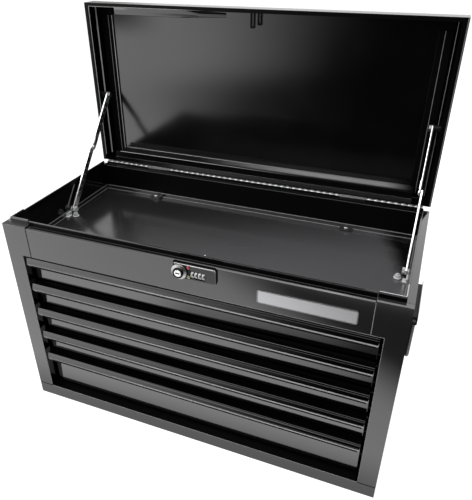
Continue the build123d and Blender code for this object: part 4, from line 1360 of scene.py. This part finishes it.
class BuildStage(bpy.types.Operator):
    """Set the floor, the studio light and the camera."""

    bl_idname = "tool_chest.build_stage"
    bl_label = "Stage"

    def execute(self, context):
        studio = context.scene.studio_settings
        context.scene.view_settings.view_transform = "Standard"
        self.make_floor(studio)
        self.make_world(context)
        self.make_lamp("Top light", (-0.25, -0.1, 1.9), (0, 0.05, 0.3), (1.7, 1.7), studio.top_power)
        self.make_lamp("Side light", (-2.0, -1.2, 1.1), (0, 0, 0.4), (1.2, 1.8), studio.side_power)
        self.make_camera(context, studio)
        return {"FINISHED"}

    def make_floor(self, studio):
        half, level = studio.floor_size / 2, -0.0003
        corners = [(x * half, y * half, level) for x, y in ((-1, -1), (1, -1), (1, 1), (-1, 1))]
        mesh = bpy.data.meshes.new("floor")
        mesh.from_pydata(corners, [], [(0, 1, 2, 3)])
        floor = bpy.data.objects.new("floor", mesh)
        bpy.context.scene.collection.objects.link(floor)
        material, tree = blank("pale_floor")
        x, y, _ = tree.axes()
        seen, mirrored, passed = tree.rays()
        # White to the camera; in reflections it glows on the left and in front of the chest, with a painted
        # shadow close to the chest's front.
        front = -1 * y - 0.1525
        square = x * x + y * y
        far = square.math("SQRT", square)
        beyond = tree.step(far, 1.3, 1.5) * tree.step(far, 2.6, 2.2)
        left = tree.step(-1 * x / far - 0.22 * beyond, 0.12, 0.52)
        near = tree.step(front + 0.6 * x, 0.58, 0.38).most(0.07 * tree.step(front, 0.66, 0.55))
        patch = 0.5 * tree.step(front, 0.52, 0.6) * tree.step(front, 0.86, 0.78)
        contact = 0.5 + 0.5 * tree.step(front, 0.0, 0.1)
        glow = near.most(patch).most(left) * contact
        light = 0.94 * (seen + passed) + 2.3 * glow * mirrored
        emission = tree.add("ShaderNodeEmission", None, {"Strength": light})
        pale = tree.mix(mirrored, flat_grey(0.5), flat_grey(0.02))
        shade = tree.add("ShaderNodeBsdfDiffuse", None, {"Color": pale})
        both = tree.add("ShaderNodeAddShader", None, {0: emission, 1: shade})
        tree.add("ShaderNodeOutputMaterial", None, {"Surface": both})
        mesh.materials.append(material)

    def make_world(self, context):
        world = bpy.data.worlds.new("studio")
        world.use_nodes = True
        context.scene.world = world
        tree = Tree(world.node_tree)
        x, y, z = tree.axes(output="Generated")
        seen, mirrored, passed = tree.rays()
        # White to the camera; in reflections it glows on the left, above and low behind the chest.
        left = tree.step(-1 * x, 0.1, 0.58) * (0.9 + 1.45 * tree.step(-1 * y, 0.0, 0.3))
        overhead = 1 - 0.7 * tree.step(z, 0.86, 0.96)
        above = tree.step(z, 0.5, 0.72) * (1.4 + 1.8 * tree.step(x, -0.55, -0.15)) * overhead
        behind = 2.0 * tree.step(x, -0.05, 0.02) * tree.step(y, 0.5, 0.7) * tree.step(z, 0.2, 0.32)
        low = 1.1 * tree.step(y, 0.6, 0.8) * tree.step(z, 0.02, 0.06) * tree.step(z, 0.25, 0.18)
        glow = left.most(above.most(behind.most(low)))
        clear = seen + passed
        light = clear + glow * mirrored + 0.22 * (1 - clear - mirrored)
        sky = tree.add("ShaderNodeBackground", None, {"Color": (1, 1, 1, 1), "Strength": light})
        tree.add("ShaderNodeOutputWorld", None, {"Surface": sky})

    def make_lamp(self, name, place, aim, size, power):
        lamp = bpy.data.lights.new(name, "AREA")
        lamp.shape = "RECTANGLE"
        lamp.size, lamp.size_y = size
        lamp.energy = power
        light = bpy.data.objects.new(name, lamp)
        light.location = place
        light.rotation_euler = (Vector(aim) - Vector(place)).to_track_quat("-Z", "Y").to_euler()
        light.visible_camera = False
        bpy.context.scene.collection.objects.link(light)

    def make_camera(self, context, studio):
        yaw, pitch, roll = (math.radians(angle) for angle in CAMERA_TURN)
        ahead = Vector((math.sin(yaw) * math.cos(pitch), math.cos(yaw) * math.cos(pitch), -math.sin(pitch)))
        right = Vector((math.cos(yaw), -math.sin(yaw), 0))
        down = ahead.cross(right)
        across = math.cos(roll) * right + math.sin(roll) * down
        up = math.sin(roll) * right - math.cos(roll) * down
        lens = bpy.data.cameras.new("camera")
        lens.sensor_width = 36
        lens.lens = studio.lens
        lens.shift_x, lens.shift_y = CAMERA_SHIFT
        camera = bpy.data.objects.new("camera", lens)
        turn = Matrix((across, up, -ahead)).transposed()
        camera.matrix_world = Matrix.Translation(CAMERA_PLACE) @ turn.to_4x4()
        context.scene.collection.objects.link(camera)
        context.scene.camera = camera


OPERATORS = (
    FinishCarcass, FinishDrawers, FinishLid, FinishStays, FinishLock, FinishHandles, BuildStage,
)


class ToolChestPanel(bpy.types.Panel):
    """Lists the steps that finish the chest."""

    bl_idname = "VIEW3D_PT_tool_chest"
    bl_label = "Tool Chest"
    bl_space_type = "VIEW_3D"
    bl_region_type = "UI"
    bl_category = "Tool Chest"

    def draw(self, context):
        for step in OPERATORS:
            self.layout.operator(step.bl_idname)
        for group in (context.scene.chest_finishes, context.scene.chest_sizes, context.scene.studio_settings):
            for name in group.bl_rna.properties.keys():
                if name not in ("rna_type", "name"):
                    self.layout.prop(group, name)


CLASSES = (ChestFinishes, ChestSizes, StudioSettings) + OPERATORS + (ToolChestPanel,)


def register():
    for part in CLASSES:
        bpy.utils.register_class(part)
    bpy.types.Scene.chest_finishes = PointerProperty(type=ChestFinishes)
    bpy.types.Scene.chest_sizes = PointerProperty(type=ChestSizes)
    bpy.types.Scene.studio_settings = PointerProperty(type=StudioSettings)


def unregister():
    del bpy.types.Scene.studio_settings
    del bpy.types.Scene.chest_sizes
    del bpy.types.Scene.chest_finishes
    for part in reversed(CLASSES):
        bpy.utils.unregister_class(part)


def main():
    register()
    bpy.ops.tool_chest.finish_carcass()
    bpy.ops.tool_chest.finish_drawers()
    bpy.ops.tool_chest.finish_lid()
    bpy.ops.tool_chest.finish_stays()
    bpy.ops.tool_chest.finish_lock()
    bpy.ops.tool_chest.finish_handles()
    bpy.ops.tool_chest.build_stage()


if __name__ == "__main__":
    main()
